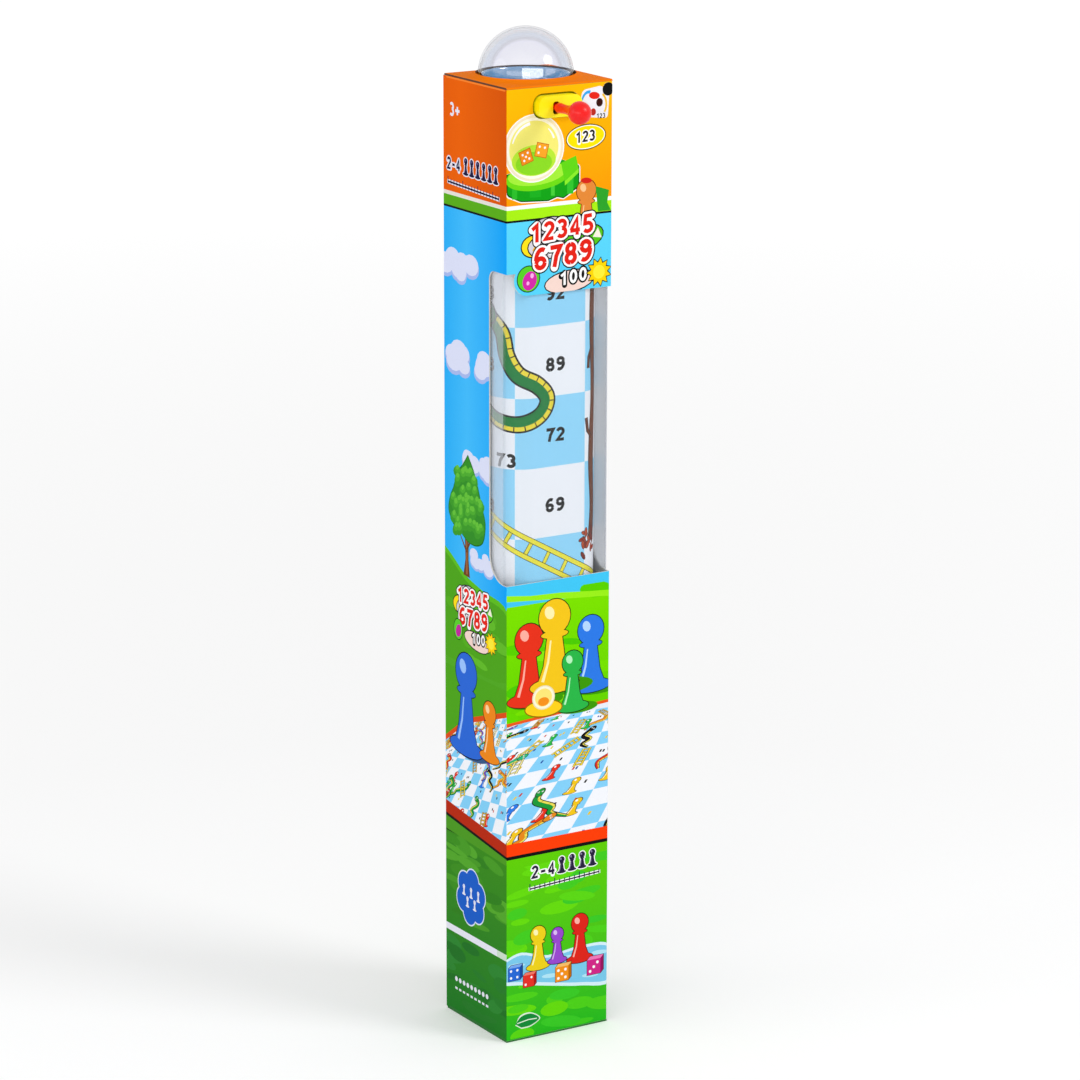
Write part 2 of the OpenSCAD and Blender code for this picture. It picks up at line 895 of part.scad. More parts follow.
module die() {
    color("white")
        translate([die_x, die_y, die_z])
            difference() {
                intersection() {
                    cube(die_w, center = true);
                    sphere(r = 0.74 * die_w);
                }
                for (face = [0 : 5]) {
                    rotate(pip_face_turns[face])
                        for (place = pip_place_shares[face]) {
                            translate([pip_share * die_w * place[0], pip_share * die_w * place[1], die_w / 2])
                                cylinder(r = pip_r, h = pip_r, center = true);
                        }
                }
            }
}

carton_sleeve();
top_lid();
lid_tuck();
dust_flap_left();
dust_flap_right();
bottom_panel();
bottom_tuck();
bottom_flap_left();
bottom_flap_right();
window_film();
seal_dot();
play_mat();
spacer_tray();
rule_leaflet();
pawn_red();
pawn_yellow();
pawn_green();
pawn_blue();
popper_base();
base_screws();
popper_housing();
popper_dome();
dice_well();
pop_plate();
plunger_foot();
return_spring();
press_lever();
lever_pin();
die();
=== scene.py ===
"""Snakes and ladders floor game in its shop carton: a rolled play mat behind a window, and a dice popper on top."""
import bisect
import math
import random

import bmesh
import bpy
import numpy as np
from mathutils import Matrix, Vector
from mathutils.geometry import delaunay_2d_cdt


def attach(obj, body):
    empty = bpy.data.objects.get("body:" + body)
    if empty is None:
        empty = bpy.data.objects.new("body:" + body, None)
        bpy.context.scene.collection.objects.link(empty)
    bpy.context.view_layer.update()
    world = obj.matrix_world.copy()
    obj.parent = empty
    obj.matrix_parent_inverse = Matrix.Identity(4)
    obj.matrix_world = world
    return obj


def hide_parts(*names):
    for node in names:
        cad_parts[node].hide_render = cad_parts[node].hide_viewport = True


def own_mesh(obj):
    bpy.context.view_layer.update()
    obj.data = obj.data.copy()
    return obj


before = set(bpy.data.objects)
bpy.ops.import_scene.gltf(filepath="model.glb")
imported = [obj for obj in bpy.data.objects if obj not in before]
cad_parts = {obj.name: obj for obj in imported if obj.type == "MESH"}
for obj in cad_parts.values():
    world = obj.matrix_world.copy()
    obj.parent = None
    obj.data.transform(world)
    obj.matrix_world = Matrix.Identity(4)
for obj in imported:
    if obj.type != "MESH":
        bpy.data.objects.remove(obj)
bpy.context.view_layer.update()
scene = bpy.context.scene
scene.view_settings.view_transform = "Standard"
mm = 0.001


# The photograph's camera, fitted to the carton's six visible corners: a long lens from the front left,
# a little above the top.
def placed(name, data):
    """A new object in the scene."""
    item = bpy.data.objects.new(name, data)
    scene.collection.objects.link(item)
    return item


camera = placed("studio_camera", bpy.data.cameras.new("studio_camera"))
camera.data.sensor_width, camera.data.lens = 36, 140.9
camera.data.clip_start, camera.data.clip_end = 0.1, 60
camera.location = (-1507.5 * mm, -2462.5 * mm, 1106.2 * mm)
swing, tilt, roll = (
    Matrix.Rotation(math.radians(angle), 3, axis) for angle, axis in ((-31.66, "Z"), (90 - 14.57, "X"), (0.12, "Z"))
)
camera.rotation_euler = (swing @ tilt @ roll).to_euler()
scene.camera = camera


# The studio: a wide white floor that keeps the carton's soft shadow, with painted shade where its glow is weaker near
# the carton, and white all round, lit mostly from everywhere, with a large soft lamp at the front right and a low
# softbox beside the camera.
def node_in(tree, kind, values=None, **settings):
    """A node with its settings. Each value is linked to its input if it is a node or a socket, or else set."""
    node = tree.nodes.new(kind)
    for name, setting in settings.items():
        setattr(node, name, setting)
    for name, value in (values or {}).items():
        for source in value if isinstance(value, list) else [value]:
            if isinstance(source, bpy.types.Node):
                source = source.outputs[0]
            if isinstance(source, bpy.types.NodeSocket):
                tree.links.new(source, node.inputs[name])
            else:
                node.inputs[name].default_value = source
    return node


def new_material(name):
    """A material with an empty tree."""
    material = bpy.data.materials.new(name)
    material.use_nodes = True
    material.node_tree.nodes.clear()
    return material, material.node_tree


def seen_directly(tree):
    """1 for rays that show the studio itself: from the camera, in a gloss or through something clear."""
    path = node_in(tree, "ShaderNodeLightPath").outputs
    total = path["Is Camera Ray"]
    for name in ("Is Glossy Ray", "Is Transmission Ray"):
        total = node_in(tree, "ShaderNodeMath", {0: total, 1: path[name]}, operation="MAXIMUM").outputs[0]
    return total


scene.world = bpy.data.worlds.new("studio_world")
scene.world.use_nodes = True
tree = scene.world.node_tree
tree.nodes.clear()
world_light, world_white = (
    node_in(tree, "ShaderNodeBackground", {"Color": (1, 1, 1, 1), "Strength": strength}) for strength in (0.64, 1)
)
world_mix = node_in(tree, "ShaderNodeMixShader", {0: seen_directly(tree), 1: world_light, 2: world_white})
node_in(tree, "ShaderNodeOutputWorld", {"Surface": world_mix})

floor_material, tree = new_material("floor_white")
away = node_in(tree, "ShaderNodeVectorMath", {0: node_in(tree, "ShaderNodeTexCoord").outputs["Object"]},
               operation="LENGTH").outputs["Value"]
# Painted shade: the floor's glow for camera rays is weaker near the carton, so the floor is darker round it
glow_with_painted_shade = node_in(tree, "ShaderNodeMapRange", {
    "Value": away, "From Min": 0.7, "From Max": 4, "To Min": 0.17, "To Max": 0.43})
no_glow, glow = (node_in(tree, "ShaderNodeEmission", {"Strength": strength}) for strength in (0, glow_with_painted_shade))
seen_glow = node_in(tree, "ShaderNodeMixShader", {0: seen_directly(tree), 1: no_glow, 2: glow})
paint = node_in(tree, "ShaderNodeBsdfDiffuse", {"Color": (0.92, 0.92, 0.92, 1)})
node_in(tree, "ShaderNodeOutputMaterial", {"Surface": node_in(tree, "ShaderNodeAddShader", {0: paint, 1: seen_glow})})
floor_mesh = bpy.data.meshes.new("studio_floor")
floor_sides, floor_reach = 48, 16
floor_mesh.from_pydata(
    [(floor_reach * math.cos(math.tau * i / floor_sides), floor_reach * math.sin(math.tau * i / floor_sides), 0)
     for i in range(floor_sides)], [], [list(range(floor_sides))])
floor_mesh.materials.append(floor_material)
floor = placed("studio_floor", floor_mesh)

for name, place, aim_height, power, size, short_side in (
    ("front_lamp", (1.5, -2.1, 2.3), 0.36, 30, 1.2, None), ("left_lamp", (-2.6, 0.6, 1.4), 0.36, 9, 1.8, None),
    ("low_softbox", (-2.01, -1.65, 1.07), 0.69, 16, 2.9, 0.5),
):
    lamp = placed(name, bpy.data.lights.new(name, "AREA"))
    lamp.data.shape = "RECTANGLE" if short_side else "DISK"
    lamp.data.size, lamp.data.energy = size, power
    if short_side:
        lamp.data.size_y = short_side
        lamp.visible_camera = False
    lamp.location = place
    lamp.rotation_euler = (Vector(place) - Vector((0, 0, aim_height))).to_track_quat("Z", "Y").to_euler()


# The carton's walls: one blank of white-lined board, printed in flat and shaded inks, varnished, die-cut,
# creased at the four corners and folded up. The artwork is drawn flat, in millimetres: across from the back
# left edge over the left, front, right and back walls, and up from the floor.
side, board = 85.0, 1.2
left0, front0, right0, back0 = 0.0, side, 2 * side, 3 * side
sleeve_low, sleeve_high = 1.35, 683.5


def ink(code):
    """A printed colour from its six hexadecimal digits, as linear light."""
    parts = [int(code[i:i + 2], 16) / 255 for i in (0, 2, 4)]
    return tuple(p / 12.92 if p <= 0.04045 else ((p + 0.055) / 1.055) ** 2.4 for p in parts)


def fade(low, high, low_code, high_code):
    """An ink that changes evenly from one height to another."""
    a, b = ink(low_code), ink(high_code)

    def colour(u, z):
        share = min(1.0, max(0.0, (z - low) / (high - low)))
        return tuple(p + (q - p) * share for p, q in zip(a, b))
    return colour


def arc(cx, cz, rx, rz, start=0.0, stop=360.0, steps=24):
    """Points on an ellipse, from one angle to another."""
    angles = [math.radians(start + (stop - start) * i / steps) for i in range(steps + 1)]
    return [(cx + rx * math.cos(angle), cz + rz * math.sin(angle)) for angle in angles]


def clip(points, u0, z0, u1, z1):
    """The part of an outline inside a rectangle."""
    for axis, limit, keep in ((0, u0, 1), (0, u1, -1), (1, z0, 1), (1, z1, -1)):
        kept = []
        for a, b in zip(points, points[1:] + points[:1]):
            inside_a, inside_b = keep * (a[axis] - limit) >= 0, keep * (b[axis] - limit) >= 0
            if inside_a:
                kept.append(a)
            if inside_a != inside_b:
                share = (limit - a[axis]) / (b[axis] - a[axis])
                kept.append((a[0] + share * (b[0] - a[0]), a[1] + share * (b[1] - a[1])))
        points = kept
    return points


class Artwork:
    """Flat artwork in millimetres. Each shape lies over the ones before it. Colours are codes or fades."""

    def __init__(self):
        self.shapes = []
        self.window = self.warp = None

    def add(self, points, colour):
        if self.warp:
            points = [self.warp(*p) for p in points]
        if self.window:
            points = clip(list(points), *self.window)
        cleaned = [p for p, q in zip(points, points[1:] + points[:1]) if math.dist(p, q) > 0.004]
        if len(cleaned) > 2:
            self.shapes.append((cleaned, ink(colour) if isinstance(colour, str) else colour))

    def block(self, u0, z0, u1, z1, colour):
        self.add([(u0, z0), (u1, z0), (u1, z1), (u0, z1)], colour)

    def blob(self, cx, cz, rx, rz, colour, steps=24, turn=0.0):
        c, s = math.cos(math.radians(turn)), math.sin(math.radians(turn))
        points = arc(0, 0, rx, rz, 0, 360 - 360 / steps, steps - 1)
        self.add([(cx + x * c - z * s, cz + x * s + z * c) for x, z in points], colour)

    def stroke(self, path, width, colour, taper=1.0, rounded=False):
        """A line of ink along a path, with mitred bends. Its width may taper along the way. A rounded one is
        split at its sharp bends, with a dot at each end."""
        last = len(path) - 1
        if rounded:
            start = 0
            for i in range(1, last + 1):
                if i < last:
                    first, second = (Vector(path[k + 1]) - Vector(path[k]) for k in (i - 1, i))
                if i == last or first.angle(second) > 0.7:
                    self.stroke(path[start:i + 1], width, colour)
                    for x, z in (path[start], path[i]):
                        self.blob(x, z, 0.5 * width, 0.5 * width, colour, 14)
                    start = i
            return
        left, right = [], []
        for i, (x, z) in enumerate(path):
            before, after = path[max(i - 1, 0)], path[min(i + 1, last)]
            first = Vector((x - before[0], z - before[1]))
            second = Vector((after[0] - x, after[1] - z))
            first = first.normalized() if first.length > 1e-6 else second.normalized()
            second = second.normalized() if second.length > 1e-6 else first
            along = (first + second).normalized()
            normal = Vector((-along.y, along.x))
            half = 0.5 * width * (1 + (taper - 1) * i / max(1, last))
            reach = half / max(0.5, normal.dot(Vector((-first.y, first.x))))
            left.append((x + normal.x * reach, z + normal.y * reach))
            right.append((x - normal.x * reach, z - normal.y * reach))
        self.add(left + right[::-1], colour)


def finished(name, mesh, materials, sharp=None):
    """A smooth-shaded piece with its materials, and with the edges above an angle kept sharp."""
    mesh.polygons.foreach_set("use_smooth", [True] * len(mesh.polygons))
    if sharp:
        mesh.set_sharp_from_angle(angle=math.radians(sharp))
    for material in materials:
        mesh.materials.append(material)
    return placed(name, mesh)


def fold_print(name, art, outline, holes, creases, place, thickness, materials):
    """A printed sheet as a closed thin mesh. place(u, z, depth) gives a point and its outward normal."""
    colours = [colour for _, colour in art.shapes]
    bare = [(0, np.array(outline))] + [(-1, np.array(hole)) for hole in holes]
    printed = bare[:1] + [(i + 1, np.array(shape)) for i, (shape, _) in enumerate(art.shapes)] + bare[1:]
    points, edges = [], []
    for _, shape in printed:
        edges.extend((len(points) + i, len(points) + (i + 1) % len(shape)) for i in range(len(shape)))
        points.extend(map(tuple, shape))

    def divided(points, edges, layers):
        """The sheet's triangles, each with the number of the uppermost layer on it, or -1 off the sheet."""
        for a, b in creases:
            edges = edges + [(len(points), len(points) + 1)]
            points = points + [a, b]
        flat, _, triangles, *_ = delaunay_2d_cdt([Vector(p) for p in points], edges, [], 0, 1e-4, False)
        middles = np.array([(p.x, p.y) for p in flat])[np.array(triangles)].mean(axis=1)
        order = np.argsort(middles[:, 0])
        sorted_x, sorted_y = middles[order].T
        owner = np.full(len(triangles), -1)
        for number, shape in layers:
            (low_x, low_y), (high_x, high_y) = shape.min(axis=0), shape.max(axis=0)
            first, last = np.searchsorted(sorted_x, (low_x, high_x))
            inside_y = (sorted_y[first:last] >= low_y) & (sorted_y[first:last] <= high_y)
            near = order[first:last][inside_y]
            px, py = middles[near].T
            winding = np.zeros(len(near), dtype=int)
            for (ax, ay), (bx, by) in zip(shape, np.roll(shape, -1, axis=0)):
                left = (bx - ax) * (py - ay) - (px - ax) * (by - ay)
                winding += (ay <= py) & (py < by) & (left > 0)
                winding -= (by <= py) & (py < ay) & (left < 0)
            inside = near[winding != 0]
            owner[inside if number == 0 else inside[owner[inside] >= 0]] = number
        return flat, triangles, owner.tolist()

    def lines_between(flat, triangles, looks):
        """The lines between triangles of unlike looks, as points and edges."""
        beside = {}
        for corners, look in zip(triangles, looks):
            for a, b in zip(corners, corners[1:] + corners[:1]):
                beside.setdefault((min(a, b), max(a, b)), []).append(look)
        lines = [edge for edge, both in beside.items() if both[0] != (both[1] if len(both) > 1 else -1)]
        spot_of = {v: i for i, v in enumerate(sorted({v for edge in lines for v in edge}))}
        return [tuple(flat[v]) for v in spot_of], [(spot_of[a], spot_of[b]) for a, b in lines]

    # Only the lines between unlike inks stay on the printed face, and only the cut edges on the plain one
    flat, triangles, owner = divided(points, edges, printed)
    looks = [colours[number - 1] if number > 0 else number for number in owner]
    front = divided(*lines_between(flat, triangles, looks), printed)
    back = divided(*lines_between(*front[:2], [min(number, 0) for number in front[2]]), bare)
    vertices, normals, place_of = [], [], {}

    def vertex(spot, depth):
        point, normal = place(spot.x, spot.y, depth)
        key = (*(round(x, 5) for x in point), depth)
        if key not in place_of:
            place_of[key] = len(vertices)
            vertices.append([x * mm for x in point])
            normals.append(Vector(normal))
        return place_of[key]
    faces, slots, shades, turns, border = [], [], [], [], {}
    first, second, third = (Vector(place(*p, 0.0)[0]) for p in ((1, 1), (1.2, 1), (1, 1.2)))
    inside_out = (second - first).cross(third - first).dot(Vector(place(1, 1, 0.0)[1])) < 0
    for (flat, triangles, owner), depth in ((front, 0.0), (back, thickness)):
        for corners, number in zip(triangles, owner):
            spots = [flat[v] for v in (corners[::-1] if inside_out != (depth > 0) else corners)]
            face = [vertex(spot, depth) for spot in spots]
            if number < 0 or len(set(face)) < 3:
                continue
            faces.append(face)
            slots.append(1 if depth else 0)
            colour = colours[number - 1] if number else (1, 1, 1)
            for spot, index in zip(spots, face):
                shades.append(colour(*spot) if callable(colour) else colour)
                turns.append(-normals[index] if depth else normals[index])
            if not depth:
                for i in range(3):
                    a, b = face[i], face[(i + 1) % 3]
                    if border.pop((b, a), None) is None:
                        border[a, b] = (spots[i], spots[(i + 1) % 3])
    for (a, b), (spot_a, spot_b) in border.items():
        rim = list(dict.fromkeys([b, a, vertex(spot_a, thickness), vertex(spot_b, thickness)]))
        if len(rim) > 2:
            p, q, r = (Vector(vertices[i]) for i in rim[:3])
            faces.append(rim)
            slots.append(2)
            shades.extend([(1, 1, 1)] * len(rim))
            turns.extend([(q - p).cross(r - q).normalized()] * len(rim))
    mesh = bpy.data.meshes.new(name)
    mesh.from_pydata(vertices, [], faces)
    piece = finished(name, mesh, materials)
    mesh.polygons.foreach_set("material_index", slots)
    layer = mesh.color_attributes.new("print", "FLOAT_COLOR", "CORNER")
    layer.data.foreach_set("color", [c for shade in shades for c in (*shade, 1.0)])
    mesh.normals_split_custom_set(turns)
    return piece


def fold_round_carton(u, z, depth):
    """A point of the blank, folded round the square carton with a small round at each crease."""
    u %= 4 * side
    half, corner = side / 2, round(u / side)
    beside = u - corner * side
    middles = ((-half, half), (-half, -half), (half, -half), (half, half))
    ahead, outward = ((0, -1), (1, 0), (0, 1), (-1, 0)), ((-1, 0), (0, -1), (1, 0), (0, 1))
    if abs(beside) < board:
        cx, cy = middles[corner % 4]
        turn = math.radians(45 * beside / board)
        before, after = outward[(corner - 1) % 4], outward[corner % 4]
        cx -= board * (before[0] + after[0])
        cy -= board * (before[1] + after[1])
        c, s = math.cos(math.pi / 4 + turn), math.sin(math.pi / 4 + turn)
        normal = (before[0] * c + after[0] * s, before[1] * c + after[1] * s, 0)
        reach = board - depth
        return (cx + reach * normal[0], cy + reach * normal[1], z), normal
    wall = int(u // side) % 4
    (cx, cy), along, normal = middles[wall], u - wall * side, outward[wall]
    x, y = (c + ahead[wall][k] * along - normal[k] * depth for k, c in enumerate((cx, cy)))
    return (x, y, z), (*normal, 0)


def filleted(corners, closed=False, steps=5):
    """Rounds the corners of an outline. Each corner is (x, y) or (x, y, radius)."""
    result = []
    count = len(corners)
    for i, corner in enumerate(corners):
        here = Vector(corner[:2])
        radius = corner[2] if len(corner) > 2 else 0.0
        if radius <= 0 or (not closed and i in (0, count - 1)):
            result.append(tuple(here))
            continue
        before, after = Vector(corners[i - 1][:2]) - here, Vector(corners[(i + 1) % count][:2]) - here
        cut = min(radius / math.tan(0.5 * before.angle(after)), 0.49 * before.length, 0.49 * after.length)
        start, stop = here + cut * before.normalized(), here + cut * after.normalized()
        for t in (k / steps for k in range(steps + 1)):
            result.append(tuple((1 - t) ** 2 * start + 2 * t * (1 - t) * here + t * t * stop))
    return result


def smooth(points, steps=5):
    """A curve through the points."""
    ends = [points[0]] + list(points) + [points[-1]]
    result = []
    for p, a, b, q in zip(ends, ends[1:], ends[2:], ends[3:]):
        for t in (i / steps for i in range(steps)):
            result.append(tuple(
                0.5 * (2 * a[k] + (b[k] - p[k]) * t + (2 * p[k] - 5 * a[k] + 4 * b[k] - q[k]) * t * t
                       + (3 * a[k] - p[k] - 3 * b[k] + q[k]) * t ** 3) for k in (0, 1)))
    return result + [tuple(points[-1])]


digit_lines = {
    "0": [arc(0.3, 0.5, 0.2, 0.415, 0, 180, 9), arc(0.3, 0.5, 0.2, 0.415, 180, 360, 9)],
    "1": [[(0.1, 0.7), (0.36, 0.9), (0.36, 0.0)]],
    "2": [arc(0.3, 0.69, 0.21, 0.225, 165, -25, 8) + [(0.09, 0.085), (0.55, 0.085)]],
    "3": [arc(0.28, 0.71, 0.2, 0.205, 150, -85, 9), arc(0.28, 0.3, 0.22, 0.215, 85, -150, 9)],
    "4": [[(0.42, 0.0), (0.42, 0.9), (0.08, 0.3)], [(0.04, 0.27), (0.58, 0.27)]],
    "5": [[(0.52, 0.915), (0.17, 0.915), (0.13, 0.52)] + arc(0.29, 0.31, 0.22, 0.225, 115, -150, 9)],
    "6": [arc(0.36, 0.42, 0.28, 0.5, 62, 178, 9), arc(0.3, 0.3, 0.2, 0.215, 0, 180, 8),
          arc(0.3, 0.3, 0.2, 0.215, 180, 360, 8)],
    "7": [[(0.05, 0.915), (0.53, 0.915), (0.33, 0.5), (0.24, 0.0)]],
    "8": [arc(0.3, z, rx, rz, start, start + 180, 7) for z, rx, rz in ((0.71, 0.175, 0.2), (0.29, 0.205, 0.215))
          for start in (-90, 90)],
    "+": [[(0.05, 0.45), (0.65, 0.45)], [(0.35, 0.15), (0.35, 0.75)]],
    "-": [[(0.1, 0.42), (0.5, 0.42)]],
}
digit_lines["9"] = [[(0.6 - x, 1 - z) for x, z in line] for line in digit_lines["6"]]


def numerals(art, text, cx, z0, height, colour, weight=0.2, halo=0.0, halo_colour=None, slant=0.0, broad=1.0):
    """Bold numbers drawn in strokes, centred on cx. A halo is a wider outline laid under them."""
    start = cx - 0.5 * broad * height * (0.72 * len(text) - 0.12)
    for extra, shade in ([(halo, halo_colour)] if halo else []) + [(0.0, colour)]:
        for i, letter in enumerate(text):
            for line in digit_lines[letter]:
                path = [(start + broad * height * (0.72 * i + x),
                         z0 + height * z + slant * broad * height * (0.72 * i + x)) for x, z in line]
                art.stroke(path, weight * height + extra, shade, rounded=extra > 0)


def cloud(art, cx, cz, width, height, white, shade, draw):
    """A cloud of overlapping puffs, with a shaded underside."""
    puffs = [(draw.uniform(-0.36, 0.36), draw.uniform(-0.18, 0.2), draw.uniform(0.13, 0.22)) for _ in range(9)]
    for tone, drop, grow in ((shade, -0.07, 1.0), (white, 0.0, 0.93)):
        for px, pz, radius in puffs:
            art.blob(cx + px * width, cz + (pz + drop) * height, grow * radius * width,
                     grow * 1.25 * radius * height, tone, 14)


def ladder(art, a, b, width, rungs, rail, colour, line, edge):
    """A ladder between two points: two rails and rungs, each with a thin outline."""
    along = Vector((b[0] - a[0], b[1] - a[1]))
    across = Vector((-along.y, along.x)).normalized() * (0.5 * width)
    bars = [([(a[0] + along.x * t + s * across.x, a[1] + along.y * t + s * across.y) for s in (-1, 1)], 0.8 * rail)
            for t in ((i + 0.6) / rungs for i in range(rungs))]
    bars += [([(p[0] + s * across.x, p[1] + s * across.y) for p in (a, b)], rail) for s in (-1, 1)]
    for path, wide in bars:
        art.stroke(path, wide + 2 * line, edge)
        art.stroke(path, wide, colour)


def snake(art, path, width, colour, belly, edge):
    """A snake: an outlined body that tapers to its tail, a striped belly along one edge, and a plain head."""
    line = smooth(path, 7)
    count = len(line)
    swollen = 0.13 * width
    left, right, inner = {swollen: [], 0.0: []}, {swollen: [], 0.0: []}, []
    for grow in left:
        for i, (x, z) in enumerate(line):
            before, after = line[max(0, i - 1)], line[min(count - 1, i + 1)]
            normal = Vector((before[1] - after[1], after[0] - before[0])).normalized()
            wide = width * (1 - 0.72 * max(0.0, (i / (count - 1) - 0.45) / 0.55) ** 1.3)
            reach = 0.5 * wide + grow
            left[grow].append((x + normal.x * reach, z + normal.y * reach))
            right[grow].append((x - normal.x * reach, z - normal.y * reach))
            if not grow:
                inner.append((x + normal.x * reach * 0.38, z + normal.y * reach * 0.38))
    for i in range(count - 1):
        for grow, shade in ((swollen, edge), (0.0, colour)):
            art.add([left[grow][i], left[grow][i + 1], right[grow][i + 1], right[grow][i]], shade)
    for i in range(count - 1):
        art.add([left[0.0][i], left[0.0][i + 1], inner[i + 1], inner[i]], belly)
        if i % 3 == 0:
            art.stroke([left[0.0][i], inner[i]], 0.08 * width, edge)
    (hx, hz), (nx, nz), head = line[0], line[1], 0.5 * 1.25 * width
    turn = math.degrees(math.atan2(hz - nz, hx - nx))
    c, s = math.cos(math.radians(turn)), math.sin(math.radians(turn))
    for grow, shade in ((swollen, edge), (0.0, colour)):
        art.blob(hx + 0.3 * width * c, hz + 0.3 * width * s, head * 1.35 + grow, head + grow, shade, 22, turn)
    for lift in (0.3, -0.3):
        ex, ez = hx + width * (0.45 * c - lift * s), hz + width * (0.45 * s + lift * c)
        art.blob(ex, ez, 0.17 * width, 0.17 * width, "FFFFFF", 12)
        art.blob(ex + 0.04 * width * c, ez + 0.04 * width * s, 0.08 * width, 0.08 * width, "151515", 10)


def pawn_picture(art, cx, z0, h, colour, light, edge, line=0.5):
    """A printed playing pawn of height h: foot, waist, collar and ball, with an outline and a highlight."""
    waist = ((0.2, 0.12), (0.13, 0.3), (0.085, 0.62))
    for grow, shade in ((line, edge), (0.0, colour)):
        art.blob(cx, z0 + 0.09 * h, 0.29 * h + grow, 0.085 * h + grow, shade, 22)
        art.add([(cx - 0.2 * h - grow, z0 + 0.12 * h)] + [(cx + x * h + grow, z0 + z * h) for x, z in waist]
                + [(cx - x * h - grow, z0 + z * h) for x, z in waist[:0:-1]], shade)
        art.blob(cx, z0 + 0.62 * h, 0.16 * h + grow, 0.04 * h + grow, shade, 18)
        art.blob(cx, z0 + 0.8 * h, 0.185 * h + grow, 0.185 * h + grow, shade, 22)
    art.blob(cx - 0.06 * h, z0 + 0.85 * h, 0.055 * h, 0.07 * h, light, 12, 25)
    art.stroke([(cx - x * h, z0 + z * h) for x, z in ((0.14, 0.14), (0.075, 0.34), (0.045, 0.56))],
               0.035 * h, light, 0.5)


pip_places = {1: [(0, 0)], 2: [(-1, -1), (1, 1)], 3: [(-1, -1), (0, 0), (1, 1)]}
pip_places[4] = pip_places[2] + [(-1, 1), (1, -1)]
pip_places[5] = pip_places[4] + [(0, 0)]
pip_places[6] = pip_places[4] + [(-1, 0), (1, 0)]


def cube_picture(art, cx, z0, s, front, top, right, pips, lean):
    """A printed die of size s from three sides, with round pips on its front."""
    d = lean * s
    x0, x1, z1 = cx - s / 2, cx + s / 2, z0 + s
    art.add([(x0 - 0.35, z0 - 0.35), (x1 + 0.2, z0 - 0.35), (x1 + d + 0.35, z0 + d - 0.2),
             (x1 + d + 0.35, z1 + d + 0.35), (x0 + d - 0.2, z1 + d + 0.35), (x0 - 0.35, z1 + 0.2)], "1C1C1C")
    art.add([(x0, z0), (x1, z0), (x1, z1), (x0, z1)], front)
    art.add([(x0, z1), (x1, z1), (x1 + d, z1 + d), (x0 + d, z1 + d)], top)
    art.add([(x1, z0), (x1 + d, z0 + d), (x1 + d, z1 + d), (x1, z1)], right)
    for a, b in pip_places[pips]:
        art.blob(cx + 0.27 * s * a, z0 + s / 2 + 0.27 * s * b, 0.1 * s, 0.1 * s, "FFFFFF", 12)


def number_emblem(art, cx, cz, size, draw):
    """A loud heap of red numbers with white and dark outlines, with a sun, a disc and small flags."""
    for x, z, rx, rz, code in ((-23, 9, 9, 7, "FFE21E"), (-12, 8, 15, 8, "D9D6DE"), (16, 11, 15, 8, "57C81C"),
                               (5, -17, 19, 7, "F6D9CF"), (-12, 22, 13, 5, "C9C6D2")):
        turn = draw.uniform(-8, 12)
        for grow, shade in ((0.9, "1A1A1A"), (0.0, code)):
            art.blob(cx + size * x, cz + size * z, size * (rx + grow), size * (rz + grow), shade, 20, turn)
    for x, z, code in ((-20, 8, "F4B400"), (-7, 4, "FFFFFF"), (22, 6, "2E9E16"), (27, 13, "F7F0E0")):
        art.add([(cx + size * (x + dx), cz + size * (z + dz)) for dx, dz in ((-4, -2), (3, -3), (0, 4))], code)
    for text, x, z, height in (("12345", -1, 11, 12.5), ("6789", 0, -7.5, 14.5)):
        for halo, shade in ((5.0, "1A1A1A"), (3.2, "FFFFFF")):
            numerals(art, text, cx + size * x, cz + size * z, size * height, shade, 0.19, size * halo, shade,
                     0.07, 1.12)
        numerals(art, text, cx + size * x, cz + size * z, size * height, "E4261A", 0.22, slant=0.07, broad=1.12)
    numerals(art, "100", cx + size * 8, cz - size * 19.5, size * 9, "FFFFFF", 0.2, size * 2.4, "1A1A1A", 0.1, 1.15)
    for grow, code in ((1.0, "1A1A1A"), (0.0, "FFD60A")):
        radii = (size * (6.2 + grow), size * (9.4 + grow))
        art.add([(cx + size * 28 + radii[i % 2] * math.cos(math.pi * i / 11),
                  cz - size * 13 + radii[i % 2] * math.sin(math.pi * i / 11)) for i in range(22)], code)
    art.blob(cx + size * 28, cz - size * 13, size * 4.6, size * 4.6, "FFEE3C", 18)


snake_belly, snake_edge, ladder_codes = "F2E25A", "202020", ["F5D93C", "D8B03C", "F5E99C"]


